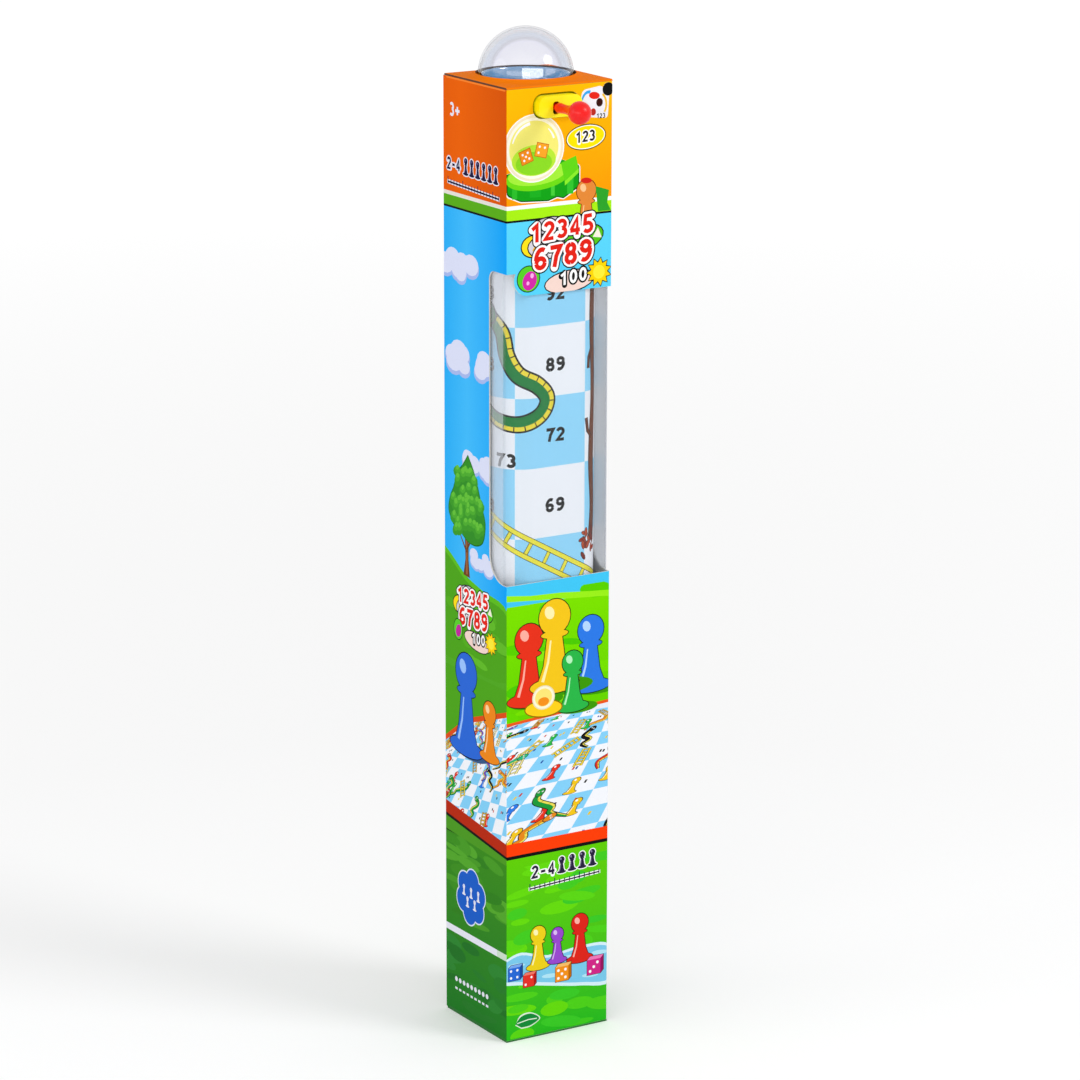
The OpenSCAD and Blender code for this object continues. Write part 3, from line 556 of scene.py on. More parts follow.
def board_picture(art, warp, rows, columns, draw):
    """The game's board drawn in perspective, with snakes, ladders and coloured specks on its squares."""
    art.warp = warp
    for i in range(columns):
        for k in range(rows):
            art.block(i, k, i + 1, k + 1, "86D2FA" if (i + k) % 2 else "F6F8FE")
            for part in range(draw.choice((0, 1, 1, 2))):
                code = draw.choice(["1B1B1B", "1B1B1B", "C8402A", "2A56A8", "E8C81E"])
                x, z = i + 0.35 + 0.16 * part, k + draw.uniform(0.35, 0.6)
                art.add([(x, z), (x + 0.1, z - 0.02), (x + 0.12, z + 0.16), (x + 0.02, z + 0.18)], code)
    for _ in range(int(0.4 * rows * columns)):
        a, b = draw.uniform(0.3, columns - 0.3), draw.uniform(0.6, rows - 0.2)
        kind = draw.random()
        if kind < 0.3:
            ladder(art, (a, b), (a + draw.uniform(-1.0, 1.0), b + draw.uniform(0.9, 1.7)), 0.36, 6, 0.085,
                   draw.choice(ladder_codes), 0.025, "3A2A1A")
        elif kind < 0.75:
            drift = draw.uniform(-0.5, 0.5)
            path = [(a, b)]
            for step in range(4):
                path.append((path[-1][0] + drift + (0.36 if step % 2 else -0.36),
                             path[-1][1] - draw.uniform(0.3, 0.52)))
            code = draw.choice(["1F9A3A", "D8382A", "E88A1E", "2FB87A", "7A4AB8", "1B1B1B", "C8402A"])
            snake(art, path, 0.27, code, snake_belly, snake_edge)
        else:
            pawn_picture(art, a, b, 0.95, draw.choice(["2F7BE8", "2DB84A", "F6C81E", "E8341E"]), "FFFFFF", "1C1C1C",
                         0.03)
    art.warp = None


art, art_draw = Artwork(), random.Random(11)


def bands(u0, orange, white, green, black, sky, grass, foot, red):
    """The colour zones that every wall has: orange, stripes, sky, grass, the green foot and a red stripe."""
    for z0, z1, colour in (
        (604, sleeve_high, fade(604, 683.5, *orange)), (601.3, 604, white), (594, 601.3, green), (592.5, 594, black),
        (320, 592.5, fade(330, 592.5, *sky)), (138.4, 322, fade(150, 322, *grass)),
        (0, 138.4, fade(0, 138.4, *foot)), (138.4, 148.5, red), (136.9, 139.4, black),
    ):
        art.block(u0, z0, u0 + side, z1, colour)


bands(front0, ("FF9C08", "FFC008"), "FFFFFF", "A8F018", "151515", ("42C8F6", "5CD6FA"), ("40C400", "7CE200"),
      ("28BC22", "62D008"), "FF400A")
for start in (left0, right0, back0):
    bands(start, ("EE6405", "F56C08"), "E8E4DC", "5BAE1A", "101010", ("3CB4FA", "1AA0F5"), ("3C9618", "5CB428"),
          ("237D28", "3C8C1E"), "B4230A")


def lawn(draw, count, u, z, rx, rz, codes, steps, turn):
    """Soft patches of grass in near shades. u, z, rx, rz and turn are ranges."""
    for _ in range(count):
        art.blob(draw.uniform(*u), draw.uniform(*z), draw.uniform(*rx), draw.uniform(*rz), draw.choice(codes), steps,
                 draw.uniform(*turn))


def meadow(u0, z0, u1, z1, codes, count, draw):
    """A lawn that fills a rectangle of the blank."""
    art.window = (u0, z0, u1, z1)
    lawn(draw, count, (u0, u1), (z0, z1), (7, 18), (2, 6), codes, 16, (-10, 10))
    art.window = None


def shapes(kind, rows):
    """Draws a table of shapes of one kind."""
    for row in rows:
        kind(*row)


def pawns(rows, edge, line):
    """Pawns in the game's colours, each as (place, foot, height, colour, light)."""
    for row in rows:
        pawn_picture(art, *row, edge, line)


# The front wall's print: a popper picture, the emblem over the window, the board on a lawn, toys by a pool
x0 = front0 + side / 2
meadow(front0, 150, right0, 330, ["59D200", "74E000", "4CCB05", "66D900", "86EA10"], 46, art_draw)
meadow(front0, 2, right0, 130, ["4FD21C", "5CD816", "44CE22", "66DC10", "3CCB28"], 40, art_draw)
art.add([(front0, 330.5), (front0 + 20, 328), (front0 + 45, 327), (front0 + 70, 324.5), (right0, 323.4),
         (right0, 319), (front0, 326)], "9AF01C")
# The popper's picture: a green base with a dark side and an arm, and two dice under its dome
for g, code in ((1.5, "FFFFFF"), (0.8, "0E4A10"), (0.0, "15A41A")):
    art.add(filleted([(x0 - 41.7 - g, 626), (x0 - 41.7 - g, 612 - g, 4), (x0 - 31, 607 - g, 8),
                      (x0 - 9, 605.8 - g, 5), (x0 - 2, 608 - g, 3), (x0 + 3, 606.6 - g, 2),
                      (x0 + 15 + g, 613.6 - g, 2), (x0 + 15 + g, 628, 3), (x0 - 2, 634)], closed=True), code)
for u, wide, code in ((-38, 4, "2CBC2C"), (-24, 9, "1DB022"), (-7, 3, "46D03A"), (6, 5, "34C430")):
    art.add([(x0 + u, 608.6), (x0 + u + wide, 608.4), (x0 + u + wide, 622), (x0 + u, 622)], code)
shapes(art.blob, ((x0 - 17.5, 622.6, 25.6, 9.4, "6EDC18", 34, 3), (x0 - 18, 624.4, 23.2, 7.6, "A4F03C", 30, 3)))
art.add([(x0 + 1, 630.5), (x0 + 13, 634.5), (x0 + 15.2, 625.5), (x0 + 4, 617.4)], "62D81A")
art.add([(x0 + 4, 617.4), (x0 + 15.2, 625.5), (x0 + 15.2, 622.6), (x0 + 4.2, 614.6)], "8AEC2C")
for radius, code in ((24.2, "FFFFFF"), (23.4, "F4E9C8"), (21.6, "FFFBEA"), (19.6, "F6F07A")):
    art.blob(x0 - 20.7, 642.3, radius, radius * 0.97, code, 40)
shapes(art.blob, ((x0 - 20.7, 634, 17.6, 10.6, "B9EC3A", 30), (x0 - 20.7, 632, 14.5, 8.0, "8CDC28", 30)))
for cx, cz, turn, code, pips in ((-27, 637, 18, "F7921E", 5), (-14.5, 640.5, -14, "F9A82A", 3)):
    c, s = math.cos(math.radians(turn)), math.sin(math.radians(turn))
    for grow, shade in ((4.4 * 1.12, "C8641A"), (4.4, code)):
        art.add([(x0 + cx + grow * (a * c - b * s), cz + grow * (a * s + b * c))
                 for a, b in ((-1, -1), (1, -1), (1, 1), (-1, 1))], shade)
    for a, b in pip_places[5][:pips]:
        art.blob(x0 + cx + 2.1 * (a * c - b * s), cz + 2.1 * (a * s + b * c), 0.85, 0.85, "FFFFFF", 10)
art.stroke(arc(x0 - 20.7, 642.3, 17.4, 17.4, 100, 165, 10), 2.2, "FFFFFF", 0.4)
art.stroke(arc(x0 - 20.7, 642.3, 17.0, 17.0, 20, 48, 8), 1.6, "FFFFFF", 0.5)
# The sticker with coloured shapes and the yellow badge
art.add(filleted([(x0 + 15.8, 661, 3), (x0 + 38.5, 658.2, 3), (x0 + 39.6, 675, 4), (x0 + 33, 681, 4),
                  (x0 + 17.5, 679, 5)], closed=True), "F4F2FA")
art.stroke(arc(x0 + 23, 670, 5.4, 7.4, 75, 165, 8), 2.4, "35A8F2", 0.5)
shapes(art.blob, ((x0 + 27.6, 674.6, 4.4, 2.5, "E8281E", 20, -8), (x0 + 31.8, 669.6, 2.7, 3.0, "3A1614", 16),
                  (x0 + 26.8, 663.4, 2.2, 2.5, "C03026", 16)))
art.stroke(arc(x0 + 31, 668, 6.3, 8.2, -40, 60, 8), 1.5, "F5C33A")
numerals(art, "123", x0 + 33, 658.6, 3.4, "2B2B2B")
for rx, rz, code in ((16.3, 9.0, "6B5A08"), (15.5, 8.2, "FFFFFF"), (14.8, 7.6, "FFE90A")):
    art.blob(x0 + 21, 646.6, rx, rz, code, 34, 4)
numerals(art, "123", x0 + 20.5, 642.9, 7.6, "2A2A2A", 0.2, 1.5, "FFFFFF", 0.06)
# A pawn that looks over the stripes, with a green flag
art.window = (front0, 594.2, right0, 620)
pawn_picture(art, x0 + 21.5, 576, 42, "E58A3A", "FFC890", "5A2A10", 0.6)
art.blob(x0 + 21.5, 616.6, 4.5, 2.0, "D8281C", 16, -6)
art.add([(x0 + 29, 612), (x0 + 40, 608.5), (x0 + 38.5, 600), (x0 + 41.5, 594.3), (x0 + 31, 594.3)], "2FA42C")
art.window = None
# The tab's backing and the emblem over the window
for u, z, rx, rz, code, *rest in ((17.6, 552.6, 9.4, 9.4, "1A1A1A", 30), (17.6, 552.6, 8.7, 8.7, "58D22A", 30),
                                  (18.6, 551.2, 5.6, 6.8, "D22CA8", 24, -24), (20.5, 554.6, 1.4, 1.8, "F9B4EC", 12),
                                  (17.2, 549.6, 1.2, 1.4, "F9B4EC", 12)):
    art.blob(front0 + u, z, rx, rz, code, *rest)
number_emblem(art, x0 + 3, 565.5, 1.04, art_draw)
# The board in perspective on the lawn, with pawns and a popper
art.window = (front0, 148.5, right0, 245)
art.add([(front0, 143), (right0, 143), (right0, 242.8), (front0, 237.2)], "F0601E")
art.add([(front0, 143), (right0, 143), (right0, 240.9), (front0, 235.4)], "E9EEF8")


def front_board(a, b):
    """The place of a board point, given in squares, in the front wall's perspective."""
    reach = 1 - max(0.0, 1 - b / 10) ** 1.45
    return x0 + (a - 10 + 0.5 * b) * (24 - 1.35 * b), 138 + 99 * reach + 0.08 * (a - 10) * (10 - b)


board_picture(art, front_board, 10, 16, art_draw)
art.window = (front0, 148.5, right0, 330)
art.add([(front0, 235.4), (right0, 240.9), (right0, 243.2), (front0, 237.6)], "EE5A1E")
for cx, z0, h, code, light in ((-24, 247, 62, "E8341E", "FFB0A0"), (27, 250, 58, "2F7BE8", "B4D8FF"),
                               (-3, 254, 70, "F6C81E", "FFF3B0"), (12, 238, 46, "2DB84A", "B8F5C0")):
    art.blob(x0 + cx + 0.1 * h, z0 + 0.06 * h, 0.36 * h, 0.09 * h, "3E9A0A", 20)
    pawn_picture(art, x0 + cx, z0, h, code, light, "1C2A10", 0.7)
for grow, code in ((0.9, "8A6A08"), (0.0, "FFD21E")):
    art.blob(x0 - 12, 244.5, 15 + grow, 5.6 + grow, code, 26, -3)
for radius, code in ((9.4, "E8E0C0"), (8.6, "FFF8D8"), (7.0, "FFE87A")):
    art.blob(x0 - 12, 252.5, radius, radius * 0.94, code, 28)
art.blob(x0 - 12, 249.5, 4.6, 3.2, "F7921E", 16)
art.window = None
# Player pictures with plain numbers over a measuring line
pawns([(x0 + 3.5 + 8.6 * i, 119.5 + 0.35 * i, 13, "2A2440", "8A84A8") for i in range(4)], "FFFFFF", 0.7)
numerals(art, "2-4", x0 - 12, 119.6, 9.5, "2A2440", 0.2, 1.7, "FFFFFF", 0.04)
art.stroke([(x0 - 24, 112.4), (x0 + 36, 115.4)], 2.6, "FFFFFF")
art.stroke([(x0 - 23, 112.4), (x0 + 35, 115.3)], 1.1, "2A2440")
for i in range(15):
    u = x0 - 23 + 4.14 * i
    art.stroke([(u, 111 + 0.2 * i), (u, (114.6 if i % 5 else 116.2) + 0.2 * i)], 0.8, "2A2440")
# Toys by a pool
art.window = (front0, 2, right0, 90)
pool_far = [(front0 - 2, 60), (x0 - 30, 64), (x0 - 8, 58), (x0 + 20, 60), (right0 + 2, 56)]
pool_near = [(right0 + 2, 32.5), (x0 + 20, 34), (x0 - 4, 38.5), (x0 - 28, 43.5), (front0 - 2, 46)]
for grow, code in ((1, "D8F2FC"), (0, "7CCBEE")):
    art.add(smooth([(u, z + 2 * grow) for u, z in pool_far] + [(u, z - 2.5 * grow) for u, z in pool_near]), code)
for cx, cz in ((-34, 57), (-6, 44), (12, 55), (36, 54), (28, 38)):
    art.blob(x0 + cx, cz, 7, 1.6, "B4E6F8", 16, -4)
pawns(((x0 - 16, 50, 34, "F0D21E", "FFF8B8"), (x0, 52, 28, "9A4AD0", "E0BCF8"),
       (x0 + 19, 49, 38, "E0281E", "FFB4A8")), "30180C", 0.6)
die_codes = (("2A6AD8", "7AAAF2", "184AA0"), ("E8342A", "F27A6A", "B01C18"), ("F7941E", "FBC06A", "C06A10"),
             ("D42A8A", "F07ABC", "98185E"))
for (cx, z0, size, pips), codes in zip(((-36, 46, 9.6, 4), (-24, 39, 9.0, 2), (4, 38, 11, 5), (31, 38, 11.4, 3)),
                                       die_codes):
    cube_picture(art, x0 + cx, z0, size, *codes, pips, 0.22)
art.window = None
# A small leaf sign
for g, code in ((0.9, "E6F5E0"), (0.0, "178A3A")):
    art.add(smooth([(x0 - 35, 12.6 - g), (x0 - 30 - g, 17.6 + g), (x0 - 22, 18.4 + g), (x0 - 15 + g, 13.6),
                    (x0 - 22, 9.6 - g), (x0 - 30, 9.2 - g)]), code)
art.stroke([(x0 - 33.5, 12.9), (x0 - 24, 14.2), (x0 - 17, 13.8)], 0.8, "E6F5E0")


def side_artwork(place, low_u, numbers, draw):
    """A side wall, drawn from its back edge to the front corner: sky with clouds and a tree, hills, a large
    pawn by the board, and a flower badge on the green foot."""
    art.warp = place
    high_u = low_u + side
    art.window = (low_u, 0, high_u, 684)
    dark, white, navy, bark = "141414", "E9EAF6", "1C1740", "6E4426"
    grass, frame_red, badge = "4FA61C", "E0501A", "1F5FC8"
    origin = place(0, 0)[0]

    def along(low, high, *codes):
        """An ink that changes across the wall."""
        blend = fade(low, high, *codes)
        return lambda u, z: blend(u, abs(u - origin))
    # Deeper orange and deeper blue towards the front corner
    shapes(art.block, ((0, 604, 24, sleeve_high, along(0, 24, "E85F05", "EE6406")),
                       (24, 604, 85, sleeve_high, along(24, 85, "EE6406", "DA5604")),
                       (0, 320, 32, 592.5, along(0, 32, "2AB0FA", "44BEFF")),
                       (32, 320, 85, 592.5, along(32, 85, "44BEFF", "0EA4FA")), (0, 592.5, 85, 594, dark)))
    # Plain age and player signs over a measuring line
    if numbers:
        numerals(art, "3+", 16, 656.5, 9.6, white)
        numerals(art, "2-4", 14.5, 619, 8.6, navy, 0.2, 1.9, white, 0.02)
    pawns([(31 + 8 * i, 617.5 - 0.1 * i, 12.5, navy, "6A64A0") for i in range(6)], white, 0.8)
    art.stroke([(6, 610.4), (76, 607.6)], 3.0, white)
    art.stroke([(7, 610.3), (75, 607.7)], 1.3, navy)
    for i in range(18):
        art.stroke([(7 + 4 * i, z - 0.15 * i) for z in (608.8, 612.6 if i % 5 else 614)], 0.8, navy)
    for cx, cz, width, height in ((21, 553, 52, 30), (34, 487, 62, 34), (46, 415, 44, 27), (52, 347, 34, 20)):
        cloud(art, cx, cz, width, height, "DDE2FA", "A9BCEF", draw)
    # Hills and the tree
    for drop, foot, code in ((0, 270, "5FBF20"), (4, 268, grass)):
        art.add(smooth([(u, z - drop) for u, z in ((-2, 350), (12, 343), (30, 333), (52, 327), (87, 318))]
                       + [(87, foot), (-2, foot)]), code)
    lawn(draw, 16, (4, 82), (272, 312), (6, 14), (2, 5), ["56B020", "479C18", "63BC2A"], 14, (-14, 4))
    art.add([(26.5, 333), (35.5, 332), (33.6, 345), (34, 366), (28.4, 366), (29.4, 345)], bark)
    art.add([(30.2, 334), (32.4, 334), (31.8, 362), (30.4, 362)], "A2683C")
    art.stroke([(31.2, 352), (42, 366)], 2.0, bark, 0.5)
    art.stroke([(31.2, 350), (20, 364)], 1.8, bark, 0.5)
    for grow, code in ((1.0, "1F6A18"), (0.97, "35902A")):
        art.add(smooth([(30 + grow * x, 384 + grow * z) for x, z in (
            (3, 37), (-5, 28), (-12, 22), (-17, 10), (-22, 2), (-24, -8), (-18, -17), (-9, -20), (2, -26), (14, -27),
            (24, -22), (27, -8), (22, 4), (17, 16), (11, 27), (3, 37))], 4), code)
    crown = [(draw.uniform(-0.5, 0.5), draw.uniform(-0.45, 0.5)) for _ in range(46)]
    for grow, lift, code in ((0.9, 0.0, "3F9C2C"), (0.6, 2.0, "4FAE32"), (0.36, 3.4, "66C23C")):
        for a, b in crown:
            lean = 1 - 0.8 * max(0.0, b)
            art.blob(31 + 40 * a * lean, 384 + lift + 48 * b, 6.4 * grow, 4.6 * grow, code, 12, draw.uniform(0, 60))
    # The emblem, smaller and never mirrored
    art.warp = None
    number_emblem(art, place(40, 302)[0], 302, 0.86, draw)
    art.warp = place
    shapes(art.blob, ((19, 291, 6.4, 8.0, "1A1A1A"), (19, 291, 5.8, 7.4, "5CD22E"),
                      (19.5, 290, 3.6, 5.0, "C42AA2", 20, -24)))
    # The board in perspective, with two pawns beside it
    art.window = (low_u, 148, high_u, 268)
    for drop, code in ((0, frame_red), (3, "DDE4F2")):
        art.add([(-2, 206 - drop), (30, 228 - drop), (87, 247 - drop), (87, 138), (-2, 150)], code)
    art.window = (low_u, 149, high_u, 243)
    board_picture(art, lambda a, b: place(
        88 - (a - 0.3 * b) * (14 - 0.7 * b), 143 + 12.4 * b - 0.34 * b * b - 1.4 * (a - 0.3 * b)), 12, 19, draw)
    art.warp, art.window = place, (low_u, 148, high_u, 268)
    art.add([(-2, 205), (30, 227), (87, 246), (87, 262), (-2, 262)], grass)
    art.add([(-2, 206), (-2, 202), (30, 224), (87, 243), (87, 247), (30, 228)], frame_red)
    art.window = (low_u, 180, high_u, 300)
    art.blob(36, 205, 25, 7, "3A5A8A", 22)
    pawn_picture(art, 30, 199, 78, "2F6AD8", "9CC4FF", "101A30", 0.8)
    pawn_picture(art, 62, 203, 46, "F08A1E", "FFD8A0", "301A08", 0.7)
    # The red stripe runs down to the corner, over the dark foot with its flower badge
    art.window = (low_u, 0, high_u, 165)
    art.add([(-2, 160), (87, 148.6), (87, 139), (-2, 150)], "B82C12")
    art.add([(-2, 150.6), (87, 139.4), (87, 137), (-2, 148)], dark)
    art.add([(-2, 148.4), (87, 137.4), (87, 133), (-2, 138)], "4E9A24")
    lawn(draw, 34, (0, 85), (72, 132), (8, 18), (2, 6), ["3F9022", "4A9C28", "338220", "55A82E"], 14, (-12, 12))
    for radius, code in ((9.8, "DDE6F8"), (8.8, badge)):
        for k in range(6):
            angle = math.radians(60 * k + 20)
            art.blob(36 + 11.6 * math.cos(angle), 95 + 12.2 * math.sin(angle), radius, radius * 1.04, code, 22)
    art.blob(36, 95, 13, 13, badge, 26)
    pawns([(cx, cz, 8.4, white, "A8C4F4") for cx, cz in ((26, 94), (36, 94), (46, 94), (31, 86), (41, 86))], badge, 0.1)
    art.block(-2, 61.5, 72, 66.5, white)
    art.add([(72, 61.5), (72, 66.5), (87, 66.5), (87, 61.5)], "CFE2D0")
    lawn(draw, 22, (0, 85), (6, 56), (8, 16), (2, 6), ["2A7E2C", "257428", "318834"], 14, (-12, 12))
    for i in range(9):
        art.blob(15 + 5.4 * i, 26.5, 1.9, 1.9, white, 12)
        art.block(13.4 + 5.4 * i, 18.5, 16.6 + 5.4 * i, 20.2, white)
    art.window = art.warp = None


side_artwork(lambda u, z: (left0 + u, z), left0, True, random.Random(5))
side_artwork(lambda u, z: (back0 - u, z), right0, False, random.Random(6))

# The back wall's print: the whole board seen from above, on grass, with a row of pawns and a row of dice
x0, back_draw = back0 + side / 2, random.Random(8)
meadow(back0, 150, 4 * side, 318, ["4FA61C", "56B020", "479C18", "63BC2A"], 50, back_draw)
meadow(back0, 4, 4 * side, 132, ["2A7E2C", "338220", "3F9022", "257428"], 40, back_draw)
for cx, cz, width, height in ((-20, 556, 50, 28), (20, 498, 56, 30), (-14, 430, 48, 26)):
    cloud(art, x0 + cx, cz, width, height, "E8ECFC", "B4C8F4", back_draw)
number_emblem(art, x0, 640, 0.92, back_draw)
low, step = 350.0, 7.5
left = x0 - 5 * step


def on_board(*spots):
    """The places of board points, given in squares, on the back wall."""
    return [(left + step * a, low + step * b) for a, b in spots]


art.block(left - 2, low - 2, left + 77, low + 77, "E0501A")
for i in range(10):
    for k in range(10):
        art.block(left + step * i, low + step * k, left + step * (i + 1), low + step * (k + 1),
                  "8ED4F8" if (i + k) % 2 else "F4F6FC")
        numerals(art, str(10 * k + (i + 1 if k % 2 == 0 else 10 - i)), left + step * (i + 0.5),
                 low + step * k + 2.3, 2.6, "1C1C1C")
for a, b in (((2, 1), (3.4, 4.2)), ((7.4, 2.2), (6.3, 5.4)), ((1.2, 5.8), (2.6, 8.6)), ((8.6, 5.2), (7.6, 8.8))):
    ladder(art, *on_board(a, b), 3.2, 6, 0.8, "F5D93C", 0.2, "3A2A1A")
for path, code in (
    (((4.6, 9.2), (3.8, 8.2), (4.8, 7.2), (3.9, 6.0), (4.8, 5.0), (4.2, 3.6)), "1F9A3A"),
    (((9.3, 7.6), (8.7, 6.4), (9.5, 5.4), (8.8, 4.2), (9.2, 3.0)), "D8382A"),
    (((5.4, 4.6), (6.2, 3.6), (5.2, 2.6), (6.0, 1.4)), "E88A1E"),
    (((0.6, 4.4), (1.3, 3.4), (0.5, 2.4), (1.2, 1.2)), "7A4AB8"),
):
    snake(art, on_board(*path), 2.4, code, snake_belly, snake_edge)
pawns([(x0 - 29 + 19.4 * i, 196 + 3 * (i % 2), 52, code, light) for i, (code, light) in enumerate((
    ("E8341E", "FFB0A0"), ("F6C81E", "FFF3B0"), ("2DB84A", "B8F5C0"), ("2F7BE8", "B4D8FF")))], "14200C", 0.7)
for i, codes in enumerate((die_codes[1], die_codes[0], die_codes[2])):
    cube_picture(art, x0 - 25 + 23 * i, 88 + 2 * (i % 2), 14, *codes, i + 3, 0.28)
art.block(back0, 61.5, 4 * side, 66.5, "F2F3FA")


def noise(tree, scale, detail):
    """Soft noise that is fixed to the piece."""
    place = node_in(tree, "ShaderNodeTexCoord").outputs["Object"]
    return node_in(tree, "ShaderNodeTexNoise", {"Vector": place, "Scale": scale, "Detail": detail})


def bump(tree, height, strength, distance):
    """Small unevenness of the surface."""
    return node_in(tree, "ShaderNodeBump", {"Height": height, "Strength": strength, "Distance": distance})


def ramp(tree, factor, stops):
    """Colours over (position, colour) stops."""
    node = node_in(tree, "ShaderNodeValToRGB", {0: factor})
    while len(node.color_ramp.elements) < len(stops):
        node.color_ramp.elements.new(0.5)
    for element, (position, colour) in zip(node.color_ramp.elements, stops):
        element.position, element.color = position, (*colour, 1)
    return node


def uneven(tree, factor, code, darker, lighter, low=0.3, high=0.7):
    """One colour that wanders between a darker and a lighter tone."""
    base = ink(code)
    return ramp(tree, factor, ((low, [c * (1 - darker) for c in base]),
                               (high, [min(1, c * (1 + lighter)) for c in base])))


def painted(tree, values):
    """Ends a tree with the shader that has these values."""
    node_in(tree, "ShaderNodeOutputMaterial", {"Surface": node_in(tree, "ShaderNodeBsdfPrincipled", values)})


def print_material(name, roughness, grain, shine):
    """Varnished print: the inks of the sheet's colour attribute, with faint mottle and fibre."""
    material, tree = new_material(name)
    inks = node_in(tree, "ShaderNodeVertexColor", layer_name="print")
    tint = node_in(tree, "ShaderNodeMapRange", {"Value": noise(tree, 900, 3), "To Min": 0.955, "To Max": 1.02})
    colour = node_in(tree, "ShaderNodeVectorMath", {0: inks, "Scale": tint}, operation="SCALE")
    painted(tree, {"Base Color": colour, "Normal": bump(tree, noise(tree, grain, 4), 0.06, 0.001),
                   "Roughness": roughness, "Specular IOR Level": shine})
    return material


def paper_material(name, code, speck):
    """Bare board or paper: pressed fibres in a pale brown or grey."""
    material, tree = new_material(name)
    fibre = noise(tree, 1400, 5)
    painted(tree, {"Base Color": uneven(tree, fibre, code, speck, 0.3 * speck),
                   "Normal": bump(tree, fibre, 0.15, 0.0004), "Roughness": 0.85})
    return material


carton_print = print_material("carton_print", 0.42, 14, 0.012)
grey_back = paper_material("board_back", "C9C5BC", 0.12)
cut_edge = paper_material("board_edge", "E4E1DA", 0.15)

# The blank's outline, window, lever cut-out, the glue spots under the dust flaps, and the creases
window_low, window_high = 337.0, 557.0
window_left, window_right = front0 - 23, right0 + 23
tab_u, tab_radius, tab_level = front0 + 17, 11.0, 541.0
tab_top = math.degrees(math.asin((window_high - tab_level - tab_radius) / tab_radius))
window_hole = (
    arc(window_left + 19, window_low + 19, 19, 19, 180, 270, 12)
    + arc(window_right - 19, window_low + 19, 19, 19, 270, 360, 12)
    + arc(window_right - 6.5, tab_level - 6.5, 6.5, 6.5, 0, 90, 8)
    + arc(tab_u, tab_level + tab_radius, tab_radius, tab_radius, 270, 180 - tab_top, 14)
    + arc(window_left + 6.5, window_high - 6.5, 6.5, 6.5, 90, 180, 8)
)
lever_u, lever_z, lever_w, lever_h, lever_r = front0 + side / 2 - 3, 670.4, 37.1, 17.3, 7.3
lever_hole = [
    p for cu, cz, start in ((1, 1, 0), (-1, 1, 90), (-1, -1, 180), (1, -1, 270))
    for p in arc(lever_u + cu * (lever_w / 2 - lever_r), lever_z + cz * (lever_h / 2 - lever_r),
                 lever_r, lever_r, start, start + 90, 7)
]
flap_rests = [
    [(front0 - 1.5, z0), (front0 - 1.5, z1), (front0 - 80, z1), (front0 - 80, z0)]
    for z0, z1 in ((sleeve_high - board, sleeve_high + 1), (sleeve_low - 1, sleeve_low + board))
]
flap_rests += [[(2 * front0 + right0 - u, z) for u, z in rest] for rest in flap_rests]
fold_u = [corner * side + board * step / 3 for corner in range(5) for step in range(-3, 4)]
carton = fold_print(
    "printed_carton", art, [(0, sleeve_low), (4 * side, sleeve_low), (4 * side, sleeve_high), (0, sleeve_high)],
    [window_hole, lever_hole] + flap_rests,
    [((u, sleeve_low), (u, sleeve_high)) for u in fold_u if 0 <= u <= 4 * side],
    fold_round_carton, 1.1, (carton_print, grey_back, cut_edge))
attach(carton, "carton")
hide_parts("carton_sleeve")


# The closures: panels, tucks and dust flaps of the same blank, creased to the walls. The lid is printed
# orange, lies flat and rises a little round the dome that pushes through its hole.
lid_low, lid_back, lid_half, dome_y, dome_hole, ring_wide, ring_high = 683.65, 40.5, 42.3, 2.0, 34.8, 7.5, 2.4
orange, quarter_bend = "FA7F0E", 0.5 * math.pi * board


def fold_lid(u, v, depth):
    """A point of the lid from its flat outline, with the fold at the front wall and the raised ring."""
    half = side / 2
    if v < -half + board:
        turn = math.radians(90 * min(1.0, (-half + board - v) / quarter_bend))
        reach = board - depth
        normal = (0, -math.sin(turn), math.cos(turn))
        return (u, -half + board + reach * normal[1], lid_low + reach * normal[2]), normal
    away = math.hypot(u, v - dome_y)
    share = max(0.0, 1 - (away - dome_hole) / ring_wide)
    edge = max(0.0, min(1.0, (half - 0.2 - abs(u)) / 3, (v + half) / 3, (lid_back - v) / 3))
    slope = 2 * share * ring_high / ring_wide * edge
    normal = Vector((slope * u / away, slope * (v - dome_y) / away, 1)).normalized()
    return (u, v, lid_low + board - depth + ring_high * share * share * edge), tuple(normal)


lid_front = -side / 2 + board - quarter_bend
lid_lines = [((-lid_half, v), (lid_half, v)) for v in (lid_front + quarter_bend * i / 5 for i in range(1, 6))]
for radius in (36.3, 37.9, 39.6, 41.4):
    ring = arc(0, dome_y, radius, radius, 0, 360, 72)
    lid_lines += [(a, b) for a, b in zip(ring, ring[1:]) if max(abs(a[0]), abs(b[0])) < lid_half
                  and max(a[1], b[1]) < lid_back and min(a[1], b[1]) > lid_front + 2]
lid_art = Artwork()
lid_art.block(-lid_half, lid_front, lid_half, lid_back, orange)
# The lid's cut edge is dark brown: painted shade for the shadowed gap between the lid and the walls' top folds
lid = fold_print(
    "lid_panel", lid_art, [(-lid_half, lid_front), (lid_half, lid_front), (lid_half, lid_back), (-lid_half, lid_back)],
    [arc(0, dome_y, dome_hole, dome_hole, 0, 355, 71)], lid_lines, fold_lid, board,
    (print_material("lid_print", 0.5, 14, 0.004), grey_back, paper_material("lid_edge_painted_shade", "5A3418", 0.2)))
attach(lid, "lid")
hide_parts("top_lid")


